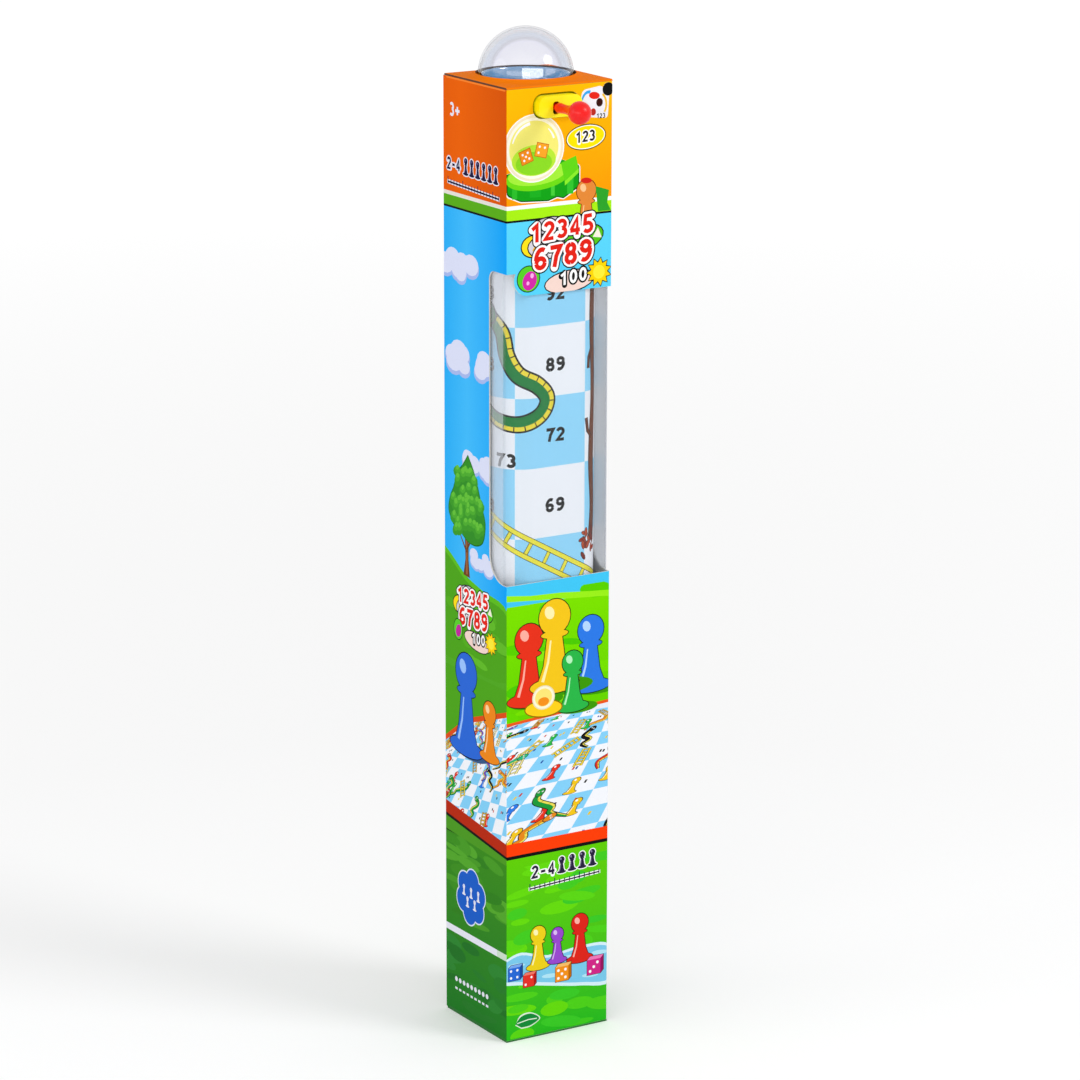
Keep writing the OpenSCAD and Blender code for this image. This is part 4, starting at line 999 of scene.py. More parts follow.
def closure_material(name, printed, axis, sign):
    """Board that is printed on the side and the fold that face out once it is folded, and grey inside."""
    material = paper_material(name, "C9C5BC", 0.12)
    tree = material.node_tree
    base = tree.nodes["Principled BSDF"].inputs["Base Color"]
    split = node_in(tree, "ShaderNodeSeparateXYZ", {0: node_in(tree, "ShaderNodeTexCoord").outputs["Normal"]})
    faces_out = None
    for channel, way in ((axis, sign), ("X", 1), ("X", -1), ("Y", -1)):
        test = node_in(tree, "ShaderNodeMath", {0: split.outputs[channel], 1: 0.6 * way},
                       operation="GREATER_THAN" if way > 0 else "LESS_THAN")
        faces_out = node_in(tree, "ShaderNodeMath", {0: faces_out, 1: test}, operation="MAXIMUM") if faces_out else test
    mix = node_in(tree, "ShaderNodeMix", data_type="RGBA")
    tree.links.new(faces_out.outputs[0], mix.inputs["Factor"])
    tree.links.new(base.links[0].from_socket, mix.inputs["A"])
    mix.inputs["B"].default_value = (*ink(printed), 1)
    tree.links.new(mix.outputs["Result"], base)
    return material


def dress(material, *names):
    """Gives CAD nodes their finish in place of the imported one."""
    for name in names:
        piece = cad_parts[name]
        piece.data.materials.clear()
        piece.data.materials.append(material)


dress(closure_material("closure_orange", orange, "Z", 1), "dust_flap_left", "dust_flap_right")
# The bottom panel, its flaps and the bottom tuck are printed a darker green than the walls' foot: partly the print, and
# partly painted shade for the contact shadow along the bottom edges
dress(closure_material("closure_green_painted_shade", "1C6C24", "Z", -1), "bottom_panel", "bottom_flap_left", "bottom_flap_right")
dress(closure_material("tuck_orange", orange, "Y", 1), "lid_tuck")
dress(closure_material("tuck_green_painted_shade", "1C6C24", "Y", 1), "bottom_tuck")


# The round seal: a disc of black coated paper with glue on its back. It is stuck on the front wall below the
# lid's edge and turned round the right corner.
seal_at, seal_radius, seal_thick = (right0 - 3.8, 678.3), 4.6, 0.2
seal_art = Artwork()
seal_art.blob(*seal_at, seal_radius, seal_radius, "161616", 40)
seal_low, seal_high = 673.9, 682.7
seal = fold_print("black_seal", seal_art, arc(*seal_at, seal_radius, seal_radius, 0, 351, 39), [],
                  [((right0 + board * i / 3, seal_low), (right0 + board * i / 3, seal_high)) for i in range(-3, 3)],
                  lambda u, z, depth: fold_round_carton(u, z, depth - seal_thick), seal_thick,
                  (carton_print, cut_edge, cut_edge))
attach(seal, "carton")
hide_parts("seal_dot")


# The window: one clear film glued behind the opening and folded round the two front corners. On the left wall it
# has a pale milky band, and on the right wall it is painted shade: a milky dark grey for the shade inside the carton.
film_low, film_high, film_side, film_back, film_round, film_t, film_rows = 328.0, 566.0, 41.3, -10.5, 2.6, 0.3, 24
# On the right wall the film is made a milky dark grey, painted shade for the inside of the carton; on the left wall it
# has a pale milky band
right_painted_shade, left_haze = 1.34, 0.62
bends = [[(at * (film_side - film_round) + film_round * math.cos(turn),
           film_round - film_side + film_round * math.sin(turn), math.cos(turn), math.sin(turn))
          for turn in (math.radians(start + 90 * i / 8) for i in range(9))] for at, start in ((-1, 180), (1, 270))]
film_path = (
    [(-film_side, y, -1, 0) for y in (film_back, -15, -19.5, -21, -26, -31, -35.8, -36.3)] + bends[0]
    + [(-38.7 + 77.4 * i / 12, -film_side, 0, -1) for i in range(1, 12)] + bends[1]
    + [(film_side, bends[1][-1][1] + (film_back - bends[1][-1][1]) * i / 8, 1, 0) for i in range(1, 9)]
)
film_vertices, film_haze_and_painted_shade = [], []
for depth in (0.0, film_t):
    for row in range(film_rows + 1):
        z = film_low + (film_high - film_low) * row / film_rows
        for x, y, nx, ny in film_path:
            film_vertices.append(((x - nx * depth) * mm, (y - ny * depth) * mm, z * mm))
            beside = min(1.0, max(0.0, (abs(nx) - 0.2) / 0.6))
            film_haze_and_painted_shade.append(right_painted_shade * beside if x > 0 else left_haze if -36 < y < -20 else 0.0)
across = len(film_path)
layer, top = across * (film_rows + 1), across * film_rows
film_faces = []
for a in (row * across + i for row in range(film_rows) for i in range(across - 1)):
    film_faces += [(a, a + 1, a + across + 1, a + across),
                   (layer + a, layer + a + across, layer + a + across + 1, layer + a + 1)]
for a, b in [(i, top + i) for i in range(across - 1)]:
    film_faces += [(a, layer + a, layer + a + 1, a + 1), (b, b + 1, layer + b + 1, layer + b)]
for a, b in [(i, i + across - 1) for i in range(0, top, across)]:
    film_faces += [(a, a + across, layer + a + across, layer + a), (b, layer + b, layer + b + across, b + across)]


def clear_material(name, tints, gloss, haze_and_painted_shade=None):
    """Clear plastic: light passes with tints that change towards grazing angles, with gloss. A hazy one is mixed
    with a lit milky colour by the piece's attribute: a pale milk where it is low, and a dark grey of painted shade
    where it is high."""
    material, tree = new_material(name)
    facing = node_in(tree, "ShaderNodeLayerWeight", {"Blend": 0.5}).outputs["Facing"]
    tint = ramp(tree, facing, [(position, ink(code)) for position, code in tints])
    shine = node_in(tree, "ShaderNodeBsdfGlossy", {
        "Roughness": 0.06, "Normal": bump(tree, noise(tree, 22, 1), 0.12, 0.002)})
    sharper = node_in(tree, "ShaderNodeMath", {0: facing, 1: 4}, operation="POWER")
    share = node_in(tree, "ShaderNodeMapRange", {"Value": sharper, "To Min": gloss, "To Max": 0.7})
    passing = node_in(tree, "ShaderNodeBsdfTransparent", {"Color": tint})
    result = node_in(tree, "ShaderNodeMixShader", {0: share, 1: passing, 2: shine})
    if haze_and_painted_shade:
        amount = node_in(tree, "ShaderNodeAttribute", attribute_name="haze_and_painted_shade").outputs["Fac"]
        scaled, third = (node_in(tree, "ShaderNodeMath", {0: amount, 1: part}, operation="MULTIPLY")
                         for part in (haze_and_painted_shade, 1 / 3))
        # A pale milk for low amounts, and a dark grey of painted shade for high ones
        greyer = ramp(tree, third, ((0.35, (0.86, 0.88, 0.94)), (0.5, (0.42, 0.42, 0.44))))
        milk_and_painted_shade = node_in(tree, "ShaderNodeBsdfDiffuse", {"Color": greyer})
        result = node_in(tree, "ShaderNodeMixShader", {0: scaled, 1: result, 2: milk_and_painted_shade})
    node_in(tree, "ShaderNodeOutputMaterial", {"Surface": result})
    return material


film_mesh = bpy.data.meshes.new("clear_window")
film_mesh.from_pydata(film_vertices, [], film_faces)
film_mesh.attributes.new("haze_and_painted_shade", "FLOAT", "POINT").data.foreach_set("value", film_haze_and_painted_shade)
film_clear = clear_material("film_clear", ((0.3, "FCFDFE"), (0.95, "E8ECEF")), 0.02, 0.3)
film = finished("clear_window", film_mesh, [film_clear], 40)
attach(film, "carton")
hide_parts("window_film")


# The play mat: printed soft sheet, rolled with its print outside. The roll is pressed almost square in the
# carton. The outer end lies on the right, and the sheet goes round by the front and inwards.
roll_half, roll_pitch, roll_round, roll_low, roll_middle, mat_w, mat_t = 39.85, 1.3, 22.0, 2.85, -0.85, 600.0, 0.8


def roll_line(depth, steps=12):
    """Points of the rolled sheet at a depth below its print, with their outward normals."""
    points = [((roll_half - depth, 16.0), (1.0, 0.0))]
    for quarter in range(8):
        for turned_by in (90 * (quarter + i / steps) for i in range(steps + 1)):
            reach = math.sqrt(2) * (roll_half - roll_pitch * turned_by / 360 - roll_round)
            middle, angle = math.radians(90 * quarter + 45), math.radians(turned_by)
            points.append((
                (reach * math.cos(middle) + (roll_round - depth) * math.cos(angle),
                 -reach * math.sin(middle) - (roll_round - depth) * math.sin(angle)),
                (math.cos(angle), -math.sin(angle))))
    return points + [((roll_half - 2 * roll_pitch - depth, -13.0), (1.0, 0.0))]


roll_outer, roll_inner, roll_core = roll_line(0.0), roll_line(mat_t), roll_line(mat_t / 2)
roll_along = [0.0]
for a, b in zip(roll_core, roll_core[1:]):
    roll_along.append(roll_along[-1] + math.dist(a[0], b[0]))
mat_l = roll_along[-1]


def fold_roll(u, z, depth):
    """A point of the mat, rolled up. u runs from the outer end, and z over the mat's width."""
    u = min(mat_l, max(0.0, u))
    i = min(len(roll_along) - 2, max(0, bisect.bisect_right(roll_along, u) - 1))
    share, deep = (u - roll_along[i]) / (roll_along[i + 1] - roll_along[i]), depth / mat_t
    (outer, normal), (next_outer, next_normal) = roll_outer[i:i + 2]
    (inner, _), (next_inner, _) = roll_inner[i:i + 2]
    x, y = ((1 - deep) * (outer[k] + share * (next_outer[k] - outer[k]))
            + deep * (inner[k] + share * (next_inner[k] - inner[k])) for k in (0, 1))
    normal = Vector(normal).lerp(Vector(next_normal), share).normalized()
    return (x, y + roll_middle, roll_low + z), (normal.x, normal.y, 0)


mat_border, column_w, row_h, row0, line_ink = 7.5, 55.0, 50.0, 65.15, "1E1E1E"
mat_art, mat_draw = Artwork(), random.Random(21)
mat_art.block(0, 0, mat_l, mat_w, "F0722A")
mat_art.block(mat_border, row0, mat_border + 10 * column_w, row0 + 10 * row_h, "FAFBFF")
for column in range(10):
    for row in range((column + 1) % 2, 10, 2):
        u, z = mat_border + column_w * (9 - column), row0 + row_h * row
        mat_art.block(u, z, u + column_w, z + row_h, "9ADFFF")
mat_art.warp = lambda x, z: (mat_border + 10 * column_w - x, row0 + z)
for a, b in (((398, 322), (512, 258)), ((60, 60), (96, 168)), ((250, 20), (222, 130)), ((330, 110), (352, 232)),
             ((140, 250), (108, 372)), ((270, 300), (300, 430)), ((40, 400), (64, 478)), ((470, 40), (448, 150))):
    ladder(mat_art, a, b, 12, max(5, int(math.dist(a, b) / 15)), 3.0, "F8EC40", 0.45, line_ink)
for path, body, code in (
    (((419, 457), (430, 446), (434, 430), (442, 417), (456, 409), (464, 399), (459, 388), (444, 382), (427, 384),
      (408, 392), (390, 384), (372, 366), (350, 372), (336, 356)), 10.4, "0A8038"),
    (((212, 470), (196, 452), (206, 432), (190, 412), (202, 392), (184, 372), (196, 346)), 9.5, "D8382A"),
    (((92, 330), (78, 312), (92, 294), (72, 276), (88, 256), (70, 236)), 9, "7A4AB8"),
    (((392, 240), (376, 222), (394, 202), (374, 184), (392, 164), (378, 140)), 9.5, "E88A1E"),
    (((172, 196), (158, 176), (176, 156), (158, 136), (174, 112)), 9, "1F9A3A"),
    (((528, 226), (514, 206), (530, 186), (512, 166), (528, 144), (516, 122)), 9, "C8402A"),
    (((300, 180), (286, 160), (304, 142), (288, 122), (300, 96)), 8.5, "2A6AD8"),
):
    snake(mat_art, path, body, code, "F8E23A", line_ink)
vine = smooth([(506, 498), (503.5, 452), (505.5, 400), (502.8, 352), (505, 318), (502.5, 292)], 6)
for path, thick in ((vine, 8.2), ([(503, 432), (499, 424), (498.5, 416)], 3.2),
                    ([(503, 366), (498, 372), (496.5, 381)], 3.2)):
    mat_art.stroke(path, thick, line_ink)
    mat_art.stroke(path, thick - 1.4, "6E3A20")
for _ in range(16):
    x, z, turn = mat_draw.uniform(493, 506), mat_draw.uniform(278, 300), mat_draw.uniform(0, 180)
    mat_art.blob(x, z, 3.6, 1.7, line_ink, 10, turn)
    mat_art.blob(x, z, 3.2, 1.3, mat_draw.choice(["9A2E14", "B8481E", "7A2410"]), 10, turn)
for row in range(10):
    for column in range(10):
        number = 10 * row + column + 1 if row % 2 == 0 else 10 * (row + 1) - column
        dx, dz = {73: (20.5, -16.5), 52: (3.0, -9.5)}.get(number, (3.0, 0))
        numerals(mat_art, str(number), column_w * (column + 0.5) + dx, row_h * (row + 0.5) - 7.2 + dz, 9.3,
                 "161616", 0.25, broad=1.25)
mat_art.warp = None
mat_back = paper_material("mat_underside", "F3F3F0", 0.05)
mat = fold_print("rolled_mat", mat_art, [(0, 0), (mat_l, 0), (mat_l, mat_w), (0, mat_w)], [],
                 [((u, 0), (u, mat_w)) for u in roll_along[1:-1]], fold_roll, mat_t,
                 (print_material("mat_print", 0.6, 60, 0.12), mat_back, mat_back))
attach(mat, "carton")
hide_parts("play_mat")


# The tray and the leaflet: a blank of grey card, folded and set above the mat to carry the popper, and the
# rules on white paper, folded and laid in it.
dress(paper_material("tray_card", "B9AD97", 0.18), "spacer_tray")
dress(paper_material("leaflet_paper", "F4F3EE", 0.06), "rule_leaflet")


# The pawns: each is moulded in one piece of coloured plastic, with a wide foot, a waist, a collar and a ball.
# The four of them stand loose in the tray.
def turned(name, outline, place, steps, materials, closed=False, axis=None):
    """A shape turned on a lathe from (radius, height) points. A closed outline gives a ring or a shell."""
    rings, vertices, faces = [], [], []
    for radius, height in outline:
        count = 1 if radius < 1e-4 else steps
        rings.append([len(vertices) + k % count for k in range(steps)])
        vertices.extend((radius * math.cos(math.tau * k / steps), radius * math.sin(math.tau * k / steps), height)
                        if count > 1 else (0, 0, height) for k in range(count))
    for low, high in zip(rings, rings[1:] + (rings[:1] if closed else [])):
        for k in range(steps):
            n = (k + 1) % steps
            face = list(dict.fromkeys((low[k], low[n], high[n], high[k])))
            if len(face) > 2:
                faces.append(face)
    mesh = bpy.data.meshes.new(name)
    turn = {None: Matrix.Identity(3), "-Y": Matrix.Rotation(math.pi / 2, 3, "X"),
            "X": Matrix.Rotation(math.pi / 2, 3, "Y")}[axis]
    mesh.from_pydata([(turn @ Vector(v) + Vector(place)) * mm for v in vertices], [], faces)
    shape = bmesh.new()
    shape.from_mesh(mesh)
    bmesh.ops.recalc_face_normals(shape, faces=shape.faces)
    shape.to_mesh(mesh)
    shape.free()
    return finished(name, mesh, materials, 50)


def plastic_material(name, code, roughness=0.28, coat=0.25, changes=0.03, coat_index=1.5):
    """Moulded plastic: an even colour with faint flow clouds and the fine waves of the mould."""
    material, tree = new_material(name)
    painted(tree, {"Base Color": uneven(tree, noise(tree, 70, 3), code, changes, changes),
                   "Normal": bump(tree, noise(tree, 160, 2), 0.05, 0.0005), "Roughness": roughness,
                   "Specular IOR Level": 0.3, "Coat Weight": coat, "Coat Roughness": 0.06, "Coat IOR": coat_index})
    return material


pawn_outline = filleted([
    (0, 0), (7, 0, 0.6), (7, 3, 1.2), (5.6, 3.6, 0.8), (3.4, 9.5, 6), (2.5, 14.6, 0.6), (3.9, 14.9, 0.5),
    (3.9, 16.3, 0.5), (2.5, 16.6, 0.4)]) + arc(0, 20.66, 4.34, 4.34, -52, 76, 16) + [(0, 25)]
pawn_place, tray_floor = 17, 605.75
for colour_name, code, x, y in (("red", "E3231A", -1, -1), ("yellow", "F7D312", 1, -1),
                                ("green", "1E9C3C", -1, 1), ("blue", "2765C9", 1, 1)):
    pawn = turned("playing_pawn_" + colour_name, pawn_outline, (x * pawn_place, y * pawn_place, tray_floor), 40,
                  [plastic_material("pawn_plastic_" + colour_name, code)])
    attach(pawn, "carton")
    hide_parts("pawn_" + colour_name)


# The popper's base: a moulded yellow plate with posts, held by four cross-headed steel screws from below. One
# screw is built in a node tree and set at the four corners.
yellow_plastic = plastic_material("popper_yellow", "FFF200", 0.38, 0.04)
dress(yellow_plastic, "popper_base")


def tree_with(name, lengths):
    """An empty Geometry Nodes tree with named length inputs and a material input."""
    tree = bpy.data.node_groups.new(name, "GeometryNodeTree")
    for label, kind in (("Geometry", "Geometry"), *((label, "Float") for label in lengths), ("Material", "Material")):
        tree.interface.new_socket(label, in_out="INPUT", socket_type="NodeSocket" + kind)
    tree.interface.new_socket("Geometry", in_out="OUTPUT", socket_type="NodeSocketGeometry")
    return tree, node_in(tree, "NodeGroupInput").outputs


def settled(piece):
    """The piece's mesh with its modifiers applied."""
    return bpy.data.meshes.new_from_object(piece.evaluated_get(bpy.context.evaluated_depsgraph_get()))


def made_by(tree, shape, name, values, lift):
    """Ends a tree, runs it on an empty object and keeps the result, lifted, as a plain mesh."""
    real = node_in(tree, "GeometryNodeRealizeInstances", {0: shape})
    paint = node_in(tree, "GeometryNodeSetMaterial", {"Geometry": real, "Material": given["Material"]})
    node_in(tree, "NodeGroupOutput", {0: paint})
    maker = placed(name + "_maker", bpy.data.meshes.new(name + "_maker"))
    modifier = maker.modifiers.new("make", "NODES")
    modifier.node_group = tree
    for item in tree.interface.items_tree:
        if item.in_out == "INPUT" and item.name in values:
            modifier[item.identifier] = values[item.name]
    mesh = settled(maker)
    maker.modifiers.remove(modifier)
    bpy.data.objects.remove(maker)
    mesh.name = name
    mesh.transform(Matrix.Translation((0, dome_y * mm, lift * mm)))
    return mesh


def steel_material(name, code, roughness):
    """Drawn steel: bright metal with fine lines and small changes in its polish."""
    material, tree = new_material(name)
    lines = noise(tree, 900, 4)
    polish = node_in(tree, "ShaderNodeMapRange", {
        "Value": lines, "To Min": roughness - 0.08, "To Max": roughness + 0.1})
    painted(tree, {"Metallic": 1, "Roughness": polish, "Base Color": uneven(tree, lines, code, 0.14, 0, 0, 1)})
    return material


steel = steel_material("screw_steel", "C9CBD0", 0.3)
screw_tree, given = tree_with(
    "cross_screws", ("Head Radius", "Head Height", "Shank Radius", "Length", "Slot Width", "Across", "Deep"))


def tube(radius, depth, lift_by):
    """A cylinder in the tree, standing on the head's underside, lifted by half its height."""
    body = node_in(screw_tree, "GeometryNodeMeshCylinder", {
        "Vertices": 28, "Radius": given[radius], "Depth": given[depth]})
    half = node_in(screw_tree, "ShaderNodeMath", {0: given[depth], 1: lift_by}, operation="MULTIPLY")
    return node_in(screw_tree, "GeometryNodeTransform", {
        "Geometry": body, "Translation": node_in(screw_tree, "ShaderNodeCombineXYZ", {"Z": half})})


def recess(long_axis, other, stretch):
    """One bar of the cross in the screw's head."""
    size = node_in(screw_tree, "ShaderNodeCombineXYZ", {
        long_axis: given["Head Radius"], other: given["Slot Width"], "Z": given["Head Height"]})
    wider = node_in(screw_tree, "ShaderNodeVectorMath", {0: size, 1: stretch}, operation="MULTIPLY")
    return node_in(screw_tree, "GeometryNodeMeshCube", {"Size": wider})


whole = node_in(screw_tree, "GeometryNodeMeshBoolean", {
    "Mesh 2": [tube("Head Radius", "Head Height", 0.5), tube("Shank Radius", "Length", 0.51)]}, operation="UNION")
crossed = node_in(screw_tree, "GeometryNodeMeshBoolean", {
    "Mesh 1": whole, "Mesh 2": [recess("X", "Y", (1.4, 1, 1)), recess("Y", "X", (1, 1.4, 1.04))]},
    operation="DIFFERENCE")
places = node_in(screw_tree, "GeometryNodeMeshGrid", {
    "Vertices X": 2, "Vertices Y": 2, "Size X": given["Across"], "Size Y": given["Deep"]})
spread = node_in(screw_tree, "GeometryNodeInstanceOnPoints", {"Points": places, "Instance": crossed})
screw_x, screw_y, heads_low = 32.25, 17.76, 637.6
screws = placed("cross_head_screws", made_by(screw_tree, spread, "cross_head_screws", {
    "Head Radius": 2.4 * mm, "Head Height": 1.1 * mm, "Shank Radius": 1.2 * mm, "Length": 8 * mm,
    "Slot Width": 0.6 * mm, "Across": 2 * screw_x * mm, "Deep": 2 * screw_y * mm, "Material": steel}, heads_low))
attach(screws, "carton")
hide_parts("base_screws")


# The popper's housing: one moulding of yellow plastic, closed by the deck round the dome. The lever housing
# on its front passes through the carton's cut-out, and its face has softly rounded edges.
shape = bmesh.new()
shape.from_mesh(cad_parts["popper_housing"].data)
bmesh.ops.remove_doubles(shape, verts=shape.verts, dist=2e-6)
bmesh.ops.dissolve_limit(shape, angle_limit=math.radians(2), verts=shape.verts, edges=shape.edges)
weight = shape.edges.layers.float.new("bevel_weight_edge")
# The rim of the lever housing's face is rounded most, but not the slot for the lever's neck
boss_face, boss_x, boss_z, boss_half_w, boss_half_h, boss_round = (
    v * mm for v in (-48.5, -3, 670.4, 17.25, 7.35, 6.1))
neck_x, neck_z, neck_half_w, neck_half_h = (v * mm for v in (-6.5, 669.5, 3.5, 5.5))
for edge in shape.edges:
    if len(edge.link_faces) != 2 or edge.calc_face_angle(0) < math.radians(50):
        continue
    on_boss_rim = all(
        abs(p.y - boss_face) < 1e-5
        and (abs(abs(p.x - boss_x) - boss_half_w) < boss_round or abs(abs(p.z - boss_z) - boss_half_h) < 1e-5)
        and (abs(p.x - neck_x) > neck_half_w or abs(p.z - neck_z) > neck_half_h)
        for p in (v.co for v in edge.verts))
    edge[weight] = 1.0 if on_boss_rim else 0.2
housing_mesh = bpy.data.meshes.new("popper_body_source")
shape.to_mesh(housing_mesh)
shape.free()
housing_mesh.materials.clear()
blank = placed("popper_body_source", housing_mesh)
rounding = blank.modifiers.new("rounding", "BEVEL")
rounding.limit_method, rounding.width, rounding.segments, rounding.use_clamp_overlap = "WEIGHT", 2.2 * mm, 4, True
housing = finished("popper_body", settled(blank), [yellow_plastic], 32)
bpy.data.objects.remove(blank)
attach(housing, "carton")
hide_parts("popper_housing")


# The dome: clear rigid plastic, blown over a short skirt. The flange at its foot is held down by the deck of
# the housing.
dome_r, dome_low, dome_t = 33.0, 686.0, 1.2
dome_outline = (
    [(35, 678.2), (35, 679.7), (33.9, 679.7), (33.2, 680.2), (dome_r, 681.2)]
    + arc(0, dome_low, dome_r, dome_r, 0, 87, 29) + [(0, dome_low + dome_r), (0, dome_low + dome_r - dome_t)]
    + arc(0, dome_low, dome_r - dome_t, dome_r - dome_t, 87, 0, 29) + [(31.8, 678.2)]
)
dome = turned("clear_dome", dome_outline, (0, dome_y, 0), 96, [clear_material("dome_clear", (
    (0.0, "FBFBFD"), (0.28, "F9F9FC"), (0.34, "F2F2F5"), (0.4, "F5F6F9"), (0.54, "F6F7FA"), (0.6, "FBFCFE"),
    (0.84, "FAFBFD"), (0.93, "D8DAE2"), (1.0, "E2E4EA")), 0.03)], closed=True)
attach(dome, "carton")
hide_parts("popper_dome")


# The dice well: a cup of glossy blue plastic with a rolled lip and a square flange that the base's posts
# press against the dome's flange. The plunger's stem runs in the bore of its floor.
well_outline = filleted([
    (28.4, 666.5, 1.2), (28.4, 675.8, 3), (29.87, 685.5), (29.9, 685.7), (30.2, 686.5), (30.5, 686.7), (30.8, 686.3),
    (30, 678.4, 0.4), (34.6, 678.2), (34.6, 676.7, 0.3), (30, 676.7, 0.5), (30, 665, 1.0), (3.05, 665), (3.05, 666.5),
], closed=True)
well = turned("dice_cup", well_outline, (0, dome_y, 0), 96,
              [plastic_material("well_blue", "4F9ACA", 0.12, 1.0, 0.02, 2.6)], closed=True)
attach(well, "carton")
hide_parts("dice_well")


# The plunger: a plate with its stem, moulded of white plastic, and the foot that is pushed on the stem from
# below for the lever's paddle to lift.
white_plastic = plastic_material("plunger_white", "F3F1EA", 0.35, 0.15)
plate_outline = filleted([(0, 648.3), (1.5, 648.3, 0.2), (1.5, 649.5), (3, 649.5, 0.3), (3, 666.5, 0.3),
                          (28, 666.5, 0.4), (28, 668, 0.5), (0, 668)])
foot_outline = filleted([(0, 648.3), (1.55, 648.3), (1.55, 649.5), (8, 649.5, 0.4), (8, 648, 0.4), (3, 648, 0.3),
                         (3, 647.3)]) + arc(0, 647.3, 3, 3, -10, -80, 7) + [(0, 644.3)]
plate = turned("throwing_plate", plate_outline, (0, dome_y, 0), 72, [white_plastic])
foot = turned("plunger_foot_cap", foot_outline, (0, dome_y, 0), 48, [white_plastic])
for piece, node in ((plate, "pop_plate"), (foot, "plunger_foot")):
    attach(piece, "plunger")
    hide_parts(node)


# The return spring: one steel wire wound round the stem. It sits between the foot and the cup's floor and is
# squashed as the plate rises.
spring_tree, given = tree_with("wound_spring", ("Turns", "Radius", "Wire Radius", "Height"))
coil = node_in(spring_tree, "GeometryNodeCurveSpiral", {
    "Resolution": 40, "Rotations": given["Turns"], "Start Radius": given["Radius"], "End Radius": given["Radius"],
    "Height": given["Height"]})
wire = node_in(spring_tree, "GeometryNodeCurvePrimitiveCircle", {"Resolution": 12, "Radius": given["Wire Radius"]})
drawn = node_in(spring_tree, "GeometryNodeCurveToMesh", {"Fill Caps": True, "Curve": coil, "Profile Curve": wire})
spring = finished("coil_spring", made_by(spring_tree, drawn, "coil_spring", {
    "Turns": 6.0, "Radius": 5 * mm, "Wire Radius": 0.4 * mm, "Height": 14.5 * mm, "Material": steel}, 650.0), [])
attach(spring, "carton")
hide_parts("return_spring")
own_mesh(spring)


# The lever: one moulding of red plastic with a ball to press, a neck through the slot, a hub on the steel
# pin, and a bent arm whose paddle lifts the plunger.
def cube(low, high, rounded, segments):
    """A cube's shape between two corners, with its edges rounded."""
    shape = bmesh.new()
    for v in bmesh.ops.create_cube(shape, size=1)["verts"]:
        v.co = Vector((low[k] if v.co[k] < 0 else high[k]) * mm for k in range(3))
    bmesh.ops.bevel(shape, geom=shape.edges[:], offset=rounded * mm, segments=segments, profile=0.5, affect="EDGES")
    mesh = bpy.data.meshes.new("rounded_cube")
    shape.to_mesh(mesh)
    shape.free()
    return mesh


pin_at = (-6.5, -41.0, 670.0)
stem_outline = (
    [(0, -1.5), (2.2, -1.5), (2.2, 8.4)] + arc(0, 11.8, 3.6, 3.6, -46, 2, 6)
    + [(3.45, 13.6), (3.2, 16.5), (3.1, 19.5), (3.25, 22.5), (3.8, 26), (4.8, 29.3)]
    + arc(0, 37, 8, 8, -44, 82, 21) + [(0, 45)]
)
lever = turned("red_lever", stem_outline, pin_at, 48, [plastic_material("lever_red", "F40808", 0.3, 0.06, 0.02)],
               axis="-Y")
hub = turned("lever_hub", filleted([(0, -4.5), (3.2, -4.5, 0.4), (3.2, 4.5, 0.4), (0, 4.5)]), pin_at, 40, [], axis="X")
pin_way = turned("lever_pin_way", [(0, -6), (1.55, -6), (1.55, 6), (0, 6)], pin_at, 32, [], axis="X")
bars = [placed("lever_bar", cube(low, high, 0.6, 3)) for low, high in (
    ((-10.5, -41.0, 668.6), (-2.5, -30.2, 671.4)), ((-10.5, -32.6, 641.0), (-2.5, -29.8, 671.38)),
    ((-10.5, -32.6, 641.0), (-2.5, 11.0, 644.0)), ((-10.48, -7.0, 641.02), (9.0, 10.98, 643.98)))]
for other in [hub] + bars + [pin_way]:
    cut = lever.modifiers.new("cut", "BOOLEAN")
    cut.operation, cut.object, cut.solver = "DIFFERENCE" if other is pin_way else "UNION", other, "EXACT"
lever.data = settled(lever)
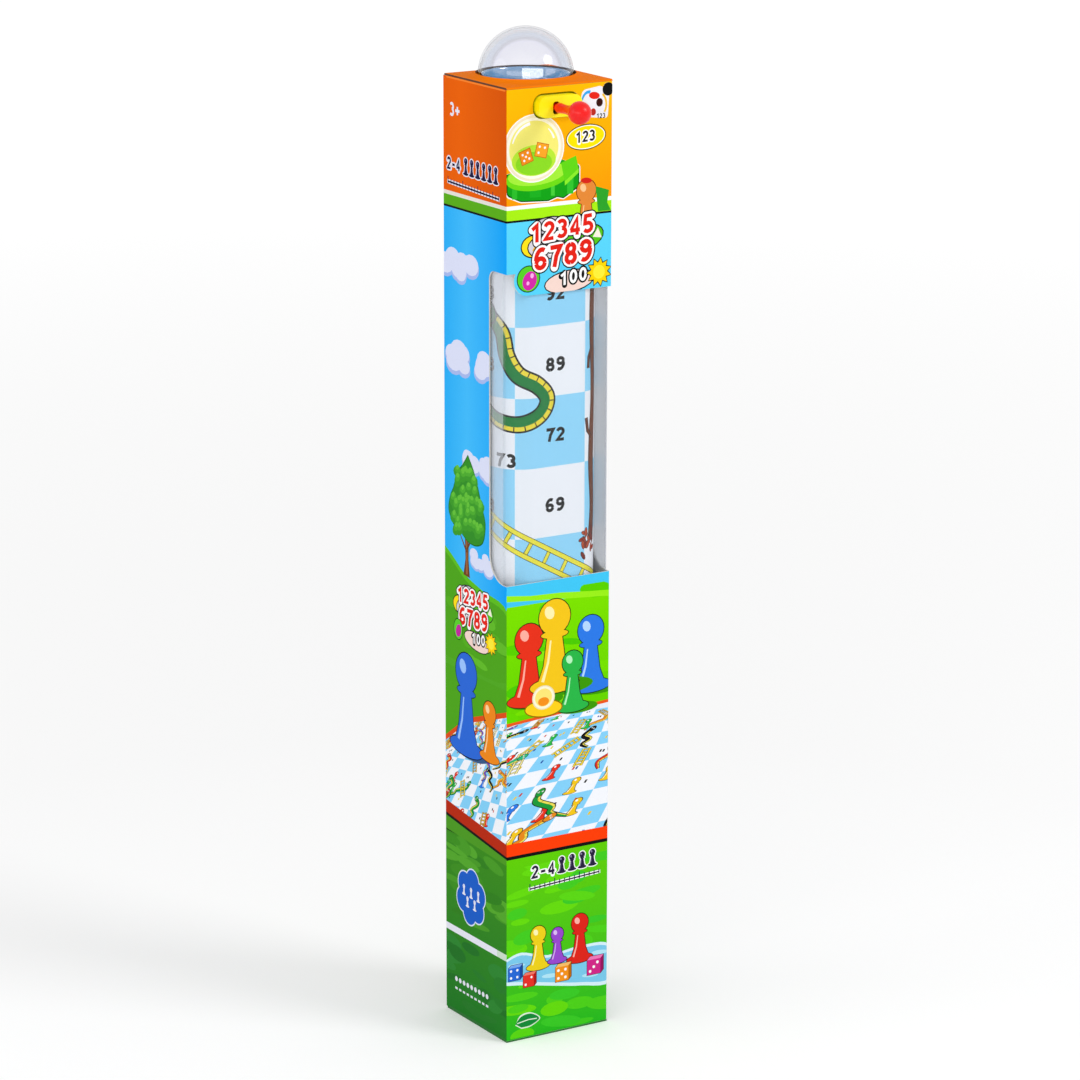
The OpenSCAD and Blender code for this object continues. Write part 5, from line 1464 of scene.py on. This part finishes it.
lever.modifiers.clear()
for other in [hub] + bars + [pin_way]:
    bpy.data.objects.remove(other)
lever.data.polygons.foreach_set("use_smooth", [True] * len(lever.data.polygons))
lever.data.set_sharp_from_angle(angle=math.radians(40))
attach(lever, "lever")
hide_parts("press_lever")
dress(steel, "lever_pin")


# The die: a cube of white plastic with rounded corners that lies loose on the plate. Its round pips are
# pressed in and inked.
die_at, die_half, pip_step, pip_sides = Vector((3.6, 6.8, 674.05)), 6.0, 2.9, 20
corner = Vector((die_half,) * 3)
die = finished("popper_die", cube(die_at - corner, die_at + corner, 1.7, 5),
               [plastic_material("die_white", "F7F6F2", 0.25, 0.3, 0.015)], 40)
pip_vertices, pip_polygons = [], []
for count, face_normal in enumerate(((0, 0, 1), (0, -1, 0), (1, 0, 0), (-1, 0, 0), (0, 1, 0), (0, 0, -1)), 1):
    normal = Vector(face_normal)
    across = Vector((0, 0, 1)) if abs(normal.z) < 0.5 else Vector((1, 0, 0))
    up = normal.cross(across)
    for a, b in pip_places[count]:
        middle = die_at + die_half * normal + pip_step * (a * across + b * up)
        start = len(pip_vertices)
        for level, radius in ((-0.3, 1.1), (0.02, 1.1), (0.045, 0.9), (0.05, 0.5)):
            pip_vertices += [(middle + level * normal + (radius * (x * across + y * up))) * mm
                             for x, y in arc(0, 0, 1, 1, 0, 360 - 360 / pip_sides, pip_sides - 1)]
        for low in range(start, start + 3 * pip_sides, pip_sides):
            for k in range(pip_sides):
                n = (k + 1) % pip_sides
                pip_polygons.append((low + k, low + n, low + pip_sides + n, low + pip_sides + k))
        pip_polygons.append([start + 3 * pip_sides + k for k in range(pip_sides)])
        pip_polygons.append([start + k for k in reversed(range(pip_sides))])
pip_mesh = bpy.data.meshes.new("die_pips")
pip_mesh.from_pydata(pip_vertices, [], pip_polygons)
pips = finished("die_pips", pip_mesh, [plastic_material("pip_ink", "1B2A6B", 0.4, 0.1, 0.05)], 50)
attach(die, "loose_die")
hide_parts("die")
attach(pips, "loose_die")
